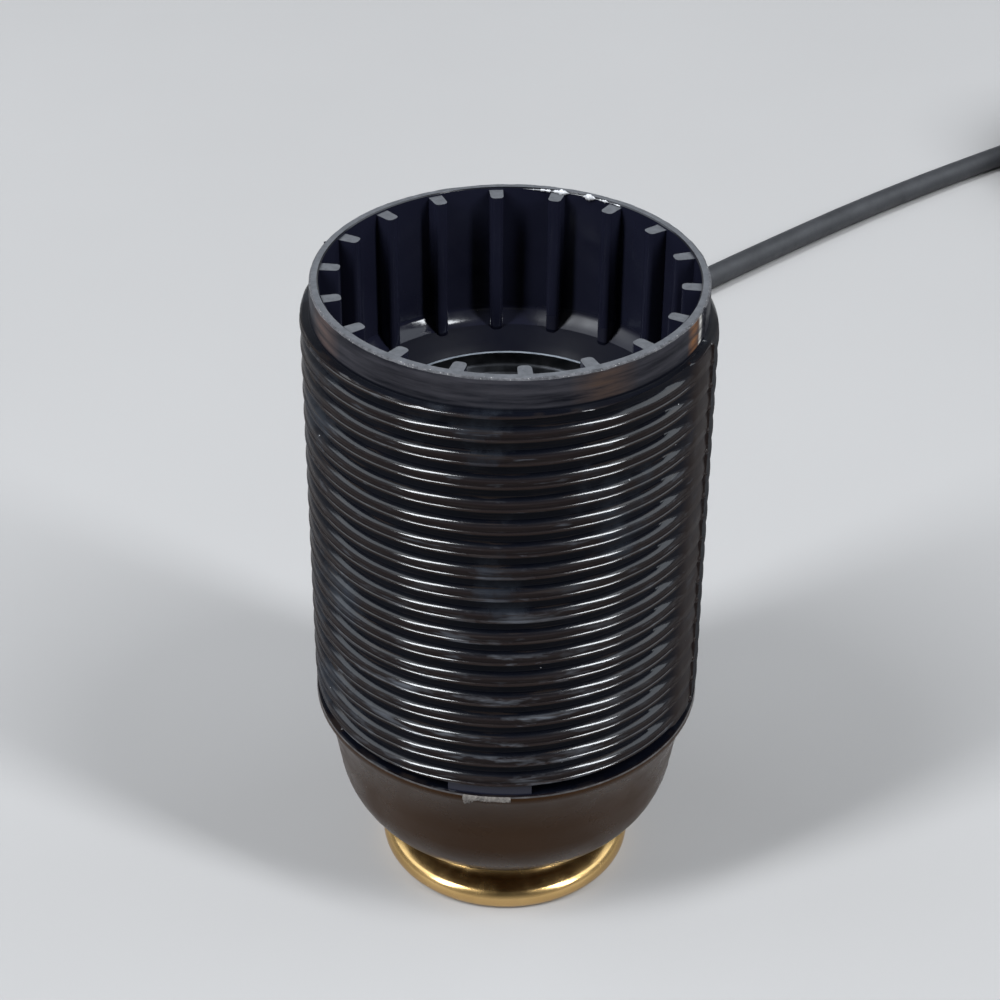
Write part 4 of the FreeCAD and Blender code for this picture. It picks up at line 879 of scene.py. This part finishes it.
# %% Cap: the gate scar
SCAR_FROM, SCAR_TO, SCAR_STEPS = math.radians(-102.1), math.radians(-88.5), 64
SCAR_OUT, SCAR_IN, SCAR_LOW, SCAR_HIGH = 0.05, 0.25, 19.9, 21.1
SCAR_ROUGH, SCAR_RAGGED = 0.10, 0.004
scar = bmesh.new()
face_side = [(r, z) for r, z in FLARE if z > SCAR_LOW]
face_side += [(CAP_RADIUS, CAP_RIM - 0.2), (19.82, CAP_RIM - 0.06)]
back_side = [(r - SCAR_IN, z) for r, z in face_side[::-1]]
section = outline_of(scar, [(r + SCAR_OUT, z) for r, z in face_side] + back_side, closed=True)
spin_part(scar, section, SCAR_FROM, SCAR_TO, SCAR_STEPS)
low_edge = smooth_randoms(SCAR_STEPS + 1, 7)
for vertex in scar.verts:
    radius, height, angle = place_of(vertex)
    step = round((angle - SCAR_FROM) / (SCAR_TO - SCAR_FROM) * SCAR_STEPS)
    lift = max(0, SCAR_HIGH - height)
    up = lift * (1.5 * low_edge[step] + 0.5 * step / SCAR_STEPS - 0.5)
    on_face = radius > 19.77 - max(0, 21.0 - height) * 0.46
    proud = (random.random() - 0.3) * SCAR_ROUGH if on_face else 0
    aside = (random.random() - 0.5) * SCAR_RAGGED
    radius += proud
    vertex.co = Vector((radius * math.cos(angle + aside), radius * math.sin(angle + aside), height + up)) * MM
scar = make_piece("gate_scar", scar, [scar_moulding], sharp=60)

# %% [markdown]
# ## The brass foot
#
# The foot is turned from brass bar and screws through the cap's floor. Its bead carries a bright
# ring, and above it a small ledge and a cove run up to the cap. Inside it is threaded M10 by 1, and
# that thread is made like the barrel's: one turn, stacked.

# %% Foot: turned outside, threaded inside
ENTRY_MINOR, ENTRY_MAJOR, ENTRY_PITCH = 4.46, 4.95, 1.0
FOOT_TOP = 11.4
FOOT_BORE, STEM = ENTRY_MAJOR + 0.08, 6.5
ENTRY_LOW, ENTRY_HIGH = 0.5, FOOT_TOP - 0.5

polished_brass = finish_of(
    "polished_brass", (0.58, 0.375, 0.150), (0.62, 0.41, 0.170), (0.20, 0.28), 300, 2500, 0.0000010,
    Metallic=1.0,
)
foot = bmesh.new()
entry = [(ENTRY_MAJOR, -1.0), (ENTRY_MAJOR, -0.9), (ENTRY_MINOR, -0.6), (ENTRY_MINOR, -0.35),
         (ENTRY_MAJOR, 0.0)]
stack_thread(foot, entry, ENTRY_PITCH, 64, 13)
cut_level(foot, ENTRY_LOW, ENTRY_HIGH, 2e-5)
profile = [
    (FOOT_BORE, ENTRY_LOW), (5.45, 0.0), (12.6, 0.0), *arc_through((12.8, 0.06), (12.4, 2.35), 1.3, 12),
    (12.2, 2.46), (11.4, 2.7), *arc_through((11.4, 2.7), (10.3, 4.0), -1.6, 6)[1:],
    (10.3, FOOT_HEIGHT), (STEM, FOOT_HEIGHT), (STEM, FOOT_TOP - 0.3), (6.2, FOOT_TOP),
    (5.45, FOOT_TOP), (FOOT_BORE, ENTRY_HIGH),
]
spin_full(foot, outline_of(foot, profile), 128)
join_loops(foot, ENTRY_LOW)
join_loops(foot, ENTRY_HIGH)
print("foot, open edges:", sum(e.is_boundary for e in foot.edges))
foot = make_piece("foot", foot, [polished_brass], sharp=30)
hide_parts("brass_foot")

# %% [markdown]
# ## The screw sleeve
#
# The plated sleeve that the lamp screws into is thin sheet with a rolled thread: a soft wave of seven
# turns to the inch. A strip with the wave's outline is spun through one rising turn and stacked, cut
# level, joined to a flared lip above and a drawn-in foot below, and given the sheet's thickness. Its
# plating is coloured far darker than nickel, a painted shade inside the tube, and the level faces of
# its lip are paler, a painted highlight on the lip.

# %% Sleeve: rolled sheet
SLEEVE_PITCH = 25.4 / 7
SLEEVE_CREST, SLEEVE_ROOT = 13.63, 12.62
SLEEVE_LOW, SLEEVE_HIGH = 34.0, 50.4
LIP_FROM, BASE_TO = 50.9, 33.5
WAVE_STEPS = 12
SHEET = 0.3

# Painted shade: the nickel is coloured nearly black.
nickel_sheet = finish_of(
    "nickel_sheet", (0.045, 0.048, 0.054), (0.085, 0.088, 0.096), (0.34, 0.50), 380, 2200, 0.000008,
    Metallic=1.0,
)
# Painted highlight: the lip's level faces are paler than the rest of the sheet.
lip_painted_highlight = finish_of(
    "lip_painted_highlight", (0.22, 0.25, 0.29), (0.42, 0.46, 0.51), (0.45, 0.65), 900, 3200, 0.00001, Metallic=0.3,
)
wave = []
for step in range(WAVE_STEPS + 1):
    share = 0.5 - 0.5 * math.cos(2 * math.pi * step / WAVE_STEPS)
    wave.append((SLEEVE_ROOT + (SLEEVE_CREST - SLEEVE_ROOT) * share, 30.0 + SLEEVE_PITCH * step / WAVE_STEPS))
sleeve = bmesh.new()
stack_thread(sleeve, wave, SLEEVE_PITCH, 72, 7)
cut_level(sleeve, SLEEVE_LOW, SLEEVE_HIGH, 5e-5)
lip = [(13.55, LIP_FROM), (13.62, 51.0), (13.72, 51.15), (13.8, 51.35), (13.8, 52.2), (13.8, 52.55)]
spin_full(sleeve, outline_of(sleeve, lip), 72)
base = [(13.2, BASE_TO), (13.22, 31.3), (13.1, 30.95), (12.7, 30.8), (9.5, 30.8)]
spin_full(sleeve, outline_of(sleeve, base), 72)
join_loops(sleeve, SLEEVE_LOW, BASE_TO)
join_loops(sleeve, SLEEVE_HIGH, LIP_FROM)
bmesh.ops.recalc_face_normals(sleeve, faces=sleeve.faces)
bmesh.ops.solidify(sleeve, geom=sleeve.faces[:], thickness=SHEET * MM)
for face in sleeve.faces:
    level = abs(face.normal.z) > 0.7 and face.calc_center_median().z > 52.3 * MM
    face.material_index = 1 if level else 0
sleeve = make_piece("sleeve", sleeve, [nickel_sheet, lip_painted_highlight], sharp=45)
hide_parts("screw_shell")

# %% [markdown]
# ## The lead's sleeve at the cap
#
# The lead leaves the cap through a tapered rubber sleeve with a flange inside the wall and a collar
# outside it. Grooves round the taper let it bend. It is spun round Z like everything else and then
# laid down along the lead.

# %% Strain relief
black_rubber = finish_of(
    "black_rubber", (0.012, 0.012, 0.013), (0.022, 0.022, 0.024), (0.62, 0.8), 300, 4000, 0.00003,
)


def relief_outline(bore, stations):
    """A closed outline: the stations on the outside, and the bore through the middle."""
    return stations + [(bore, stations[-1][1]), (bore, stations[0][1])]


def laid_along_y(mesh, across, height):
    """Lay a piece that was spun round Z along Y, with its axis at this X and this height."""
    turn_all(mesh, -math.pi / 2, "X")
    move_all(mesh, across, 0, height)


GROOVE = [(0.0, 0.6), (0.12, 0.1), (0.25, 0.0), (0.5, 0.0), (0.62, 0.1), (0.74, 0.6), (0.8, 1.0), (0.94, 1.0)]


def grooved_taper(thick, thin, begin, end, pitch, depth):
    """Rounded rings and grooves along a taper from begin to end."""
    points = []
    for ring in range(int((end - begin) / pitch)):
        for part, sink in GROOVE:
            at = begin + (ring + part) * pitch
            points.append((thick + (thin - thick) * (at - begin) / (end - begin) - sink * depth, at))
    return points


sheath = [(3.9, 14.1), (4.0, 14.25), (4.0, 14.75), (3.9, 14.9), (3.1, 14.9), (3.1, 18.45), (4.2, 18.45),
          (4.4, 18.65), (4.4, 19.75), (4.15, 20.05)]
sheath += grooved_taper(3.6, 2.45, 20.4, 37.6, 1.9, 0.55) + [(2.4, 37.8), (2.36, 39.6), (2.2, 40.0)]
relief = turned(relief_outline(1.75, sheath), 48)
laid_along_y(relief, 0, OUTLET)
relief = make_piece("lead_sleeve", relief, [black_rubber])
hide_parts("strain_relief")

# %% [markdown]
# ## The contact leaf
#
# Under the lamp sits a bent bronze strip that pushes the button against the lamp's tip. The strip
# starts as four points seen from the side, its bends are rounded by a vertex bevel, and an extrusion
# gives it its width. When the button is pressed the strip flattens; here it gets a mesh of its own.

# %% Contact leaf
spring_bronze = finish_of(
    "spring_bronze", (0.50, 0.30, 0.16), (0.62, 0.40, 0.23), (0.24, 0.38), 500, 2600, 0.000006,
    Metallic=1.0,
)
LEAF_SEAT, LEAF_HALF, LEAF_SHEET, LEAF_BEND = 28.0, 2.2, 0.4, 0.7
leaf = bmesh.new()
outline_of(leaf, [(-8.0, 28.2), (-4.05, 28.2), (-2.65, 31.4), (2.6, 31.4)])
leaf.verts.ensure_lookup_table()
bmesh.ops.bevel(leaf, geom=leaf.verts[1:3], offset=LEAF_BEND * MM, segments=5, profile=0.5,
                affect="VERTICES", material=-1)
raised = bmesh.ops.extrude_edge_only(leaf, edges=leaf.edges[:])
bmesh.ops.translate(leaf, verts=verts_of(raised), vec=(0, 2 * LEAF_HALF * MM, 0))
move_all(leaf, 0, -LEAF_HALF, 0)
bmesh.ops.recalc_face_normals(leaf, faces=leaf.faces)
bmesh.ops.solidify(leaf, geom=leaf.faces[:], thickness=LEAF_SHEET * MM)
low = min(v.co.z for v in leaf.verts)
bmesh.ops.translate(leaf, verts=leaf.verts, vec=(0, 0, LEAF_SEAT * MM - low))
leaf = make_piece("leaf", leaf, [spring_bronze])
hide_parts("centre_leaf")
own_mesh(leaf)

# %% [markdown]
# ## Ties and the plug's sleeve
#
# Two strap ties hold the coil. Each starts as a circle whose quarters are pulled apart into a rounded
# rectangle round the coil's section, is extruded to the strap's width, and gets its thickness. The
# plug has a grooved sleeve of its own, made by the same function as the first one.

# %% Coil ties
TIE_WIDTH, TIE_SHEET = 9.0, 0.7
TIE_ROUND = 2.2
tie_low = TIE_SHEET / 2 + 0.05
tie_high = COIL_BOTTOM + (COIL_LAYERS - 1) * LAYER_RISE + CORD_RADIUS + 0.4
tie_in, tie_out = COIL_INNER - CORD_RADIUS - 0.5, COIL_OUTER + CORD_RADIUS + 0.5

ties = bmesh.new()
for heading in (62, 242):
    strap = bmesh.new()
    bmesh.ops.create_circle(strap, cap_ends=False, radius=TIE_ROUND * MM, segments=32)
    for vertex in strap.verts:
        vertex.co.x += math.copysign((tie_out - tie_in) / 2 - TIE_ROUND, vertex.co.x) * MM
        vertex.co.y += math.copysign((tie_high - tie_low) / 2 - TIE_ROUND, vertex.co.y) * MM
    pulled = bmesh.ops.extrude_edge_only(strap, edges=strap.edges[:])
    bmesh.ops.translate(strap, verts=verts_of(pulled), vec=(0, 0, TIE_WIDTH * MM))
    move_all(strap, (tie_in + tie_out) / 2, 0, -TIE_WIDTH / 2)
    turn_all(strap, math.pi / 2, "X")
    move_all(strap, 0, 0, (tie_low + tie_high) / 2)
    turn_all(strap, math.radians(heading))
    move_all(strap, *COIL_MIDDLE)
    bmesh.ops.recalc_face_normals(strap, faces=strap.faces)
    bmesh.ops.solidify(strap, geom=strap.faces[:], thickness=TIE_SHEET * MM)
    add_mesh(ties, strap)
tie_web = finish_of(
    "tie_web", (0.010, 0.010, 0.011), (0.022, 0.022, 0.024), (0.7, 0.9), 900, 3200, 0.00008,
    Sheen_Weight=0.3,
)
ties = make_piece("coil_ties", ties, [tie_web], sharp=40)

# %% Plug's sleeve
PLUG_AXIS = 141.8
PLUG_MIDDLE = 6.85
plug_moulding = finish_of(
    "plug_moulding", (0.010, 0.010, 0.011), (0.018, 0.018, 0.020), (0.42, 0.58), 260, 3000, 0.00002,
)
tail = [(4.1, 116.6), (4.4, 117.4), (4.4, 118.6)]
tail += grooved_taper(4.2, 2.6, 119.0, 134.6, 1.95, 0.6) + [(2.5, 134.9), (2.36, 136.7), (2.2, 137.0)]
plug_sleeve = turned(relief_outline(1.72, tail), 48)
laid_along_y(plug_sleeve, PLUG_AXIS, PLUG_MIDDLE)
plug_sleeve = make_piece("plug_sleeve", plug_sleeve, [plug_moulding])
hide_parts("plug_relief")

# %% [markdown]
# ## Finishes for the pieces inside
#
# The block, the terminals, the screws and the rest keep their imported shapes, which are right as they
# are, and get finishes of their own kind: glazed ceramic, zinc-plated steel, brass, plain fibre.

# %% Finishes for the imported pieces
plain_brass = finish_of(
    "plain_brass", (0.50, 0.35, 0.15), (0.62, 0.46, 0.22), (0.28, 0.45), 420, 2600, 0.00001, Metallic=1.0,
)
zinc_steel = finish_of(
    "zinc_steel", (0.42, 0.43, 0.45), (0.56, 0.57, 0.58), (0.28, 0.42), 700, 3200, 0.00001, Metallic=1.0,
)
nickel_pin = finish_of(
    "nickel_pin", (0.58, 0.57, 0.54), (0.68, 0.67, 0.64), (0.14, 0.24), 400, 3000, 0.000004, Metallic=1.0,
)
white_ceramic = finish_of(
    "white_ceramic", (0.66, 0.64, 0.58), (0.74, 0.72, 0.67), (0.30, 0.48), 220, 2400, 0.00002,
)
fibre_saddle = finish_of(
    "fibre_saddle", (0.13, 0.065, 0.030), (0.20, 0.105, 0.050), (0.55, 0.75), 800, 3500, 0.00003,
)
core_brown = finish_of(
    "core_brown", (0.085, 0.030, 0.012), (0.110, 0.042, 0.018), (0.35, 0.45), 300, 3000, 0.00001,
)
core_blue = finish_of(
    "core_blue", (0.012, 0.060, 0.21), (0.018, 0.085, 0.27), (0.35, 0.45), 300, 3000, 0.00001,
)

KEPT = {
    "lock_washer": zinc_steel, "foot_nut": zinc_steel, "contact_block": white_ceramic,
    "terminal_live": plain_brass, "terminal_neutral": plain_brass, "terminal_screws": zinc_steel,
    "leaf_rivet": plain_brass, "neutral_rivet": plain_brass, "sleeve_rivets": plain_brass,
    "contact_button": plain_brass, "cord_clamp": fibre_saddle, "clamp_screws": zinc_steel,
    "cord_tail": cord_jacket, "core_brown": core_brown, "core_blue": core_blue,
    "plug_body": plug_moulding, "plug_pins": nickel_pin,
}
for name, material in KEPT.items():
    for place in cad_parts[name].material_slots:
        place.material = material
print("packed pieces finished:", len(KEPT))

# %% [markdown]
# ## Floor, lamps and world
#
# The holder stands on a plain pale floor. Two tall, narrow boxes in front of it on the left and on the
# right give the threads and the cap one streak each. Two broad, weak screens further round give its
# sides soft bands, and a weak box behind lifts the back of the rim. The world is brightest near the
# horizon and falls off upwards, which fills the shadows. Their sum is about the level at which a
# colour renders as it is written.

# %% Floor
floor = bmesh.new()
bmesh.ops.create_grid(floor, x_segments=1, y_segments=1, size=1.0)
floor_data = bpy.data.meshes.new("floor")
floor.to_mesh(floor_data)
floor.free()
floor = bpy.data.objects.new("floor", floor_data)
bpy.context.scene.collection.objects.link(floor)
pale_floor = finish_of(
    "pale_floor", (0.366, 0.357, 0.353), (0.384, 0.375, 0.371), (0.55, 0.65), 6, 900, 0.000002,
)
floor.data.materials.append(pale_floor)

# %% Lamps and world
BOX_COLOUR, SCREEN_COLOUR, PLAIN = (0.92, 0.96, 1.0), (0.86, 0.93, 1.0), (1, 1, 1)
LAMPS = {
    "left_box": (-58, 46, 1.4, 0.20, 1.00, 24.0, BOX_COLOUR),
    "left_screen": (-102, 46, 1.5, 1.00, 0.90, 6.0, SCREEN_COLOUR),
    "right_box": (59, 46, 1.4, 0.17, 1.00, 20.0, BOX_COLOUR),
    "right_screen": (102, 46, 1.5, 1.00, 0.90, 6.0, SCREEN_COLOUR),
    "back_box": (180, 62, 1.6, 1.40, 0.90, 1.5, PLAIN),
}


def soft_box(name, azimuth, elevation, distance, width, height, power, colour):
    """An area lamp that looks at the holder. Azimuth 0 is in front and 90 is on the right."""
    a, e = math.radians(azimuth), math.radians(elevation)
    away = Vector((math.sin(a) * math.cos(e), -math.cos(a) * math.cos(e), math.sin(e)))
    lamp = bpy.data.objects.new(name, bpy.data.lights.new(name, "AREA"))
    lamp.data.shape = "RECTANGLE"
    lamp.data.size, lamp.data.size_y = width, height
    lamp.data.energy = power
    lamp.data.color = colour
    lamp.location = Vector((0, 0, 0.045)) + distance * away
    lamp.rotation_mode = "QUATERNION"
    lamp.rotation_quaternion = away.to_track_quat("Z", "Y")
    bpy.context.scene.collection.objects.link(lamp)


for name, values in LAMPS.items():
    soft_box(name, *values)

world = bpy.data.worlds.new("world")
world.use_nodes = True
sky = world.node_tree
way = add(sky, "ShaderNodeTexCoord", {}).outputs["Generated"]
rise = add(sky, "ShaderNodeSeparateXYZ", {0: way}).outputs["Z"]
sky.links.new(ranged(sky, rise, 0.04, 0.6, 0.56, 0.08), sky.nodes["Background"].inputs["Strength"])
sky.nodes["Background"].inputs["Color"].default_value = (0.93, 0.96, 1.0, 1)
bpy.context.scene.world = world
bpy.context.scene.view_settings.view_transform = "Standard"
print("lamps:", len(LAMPS))
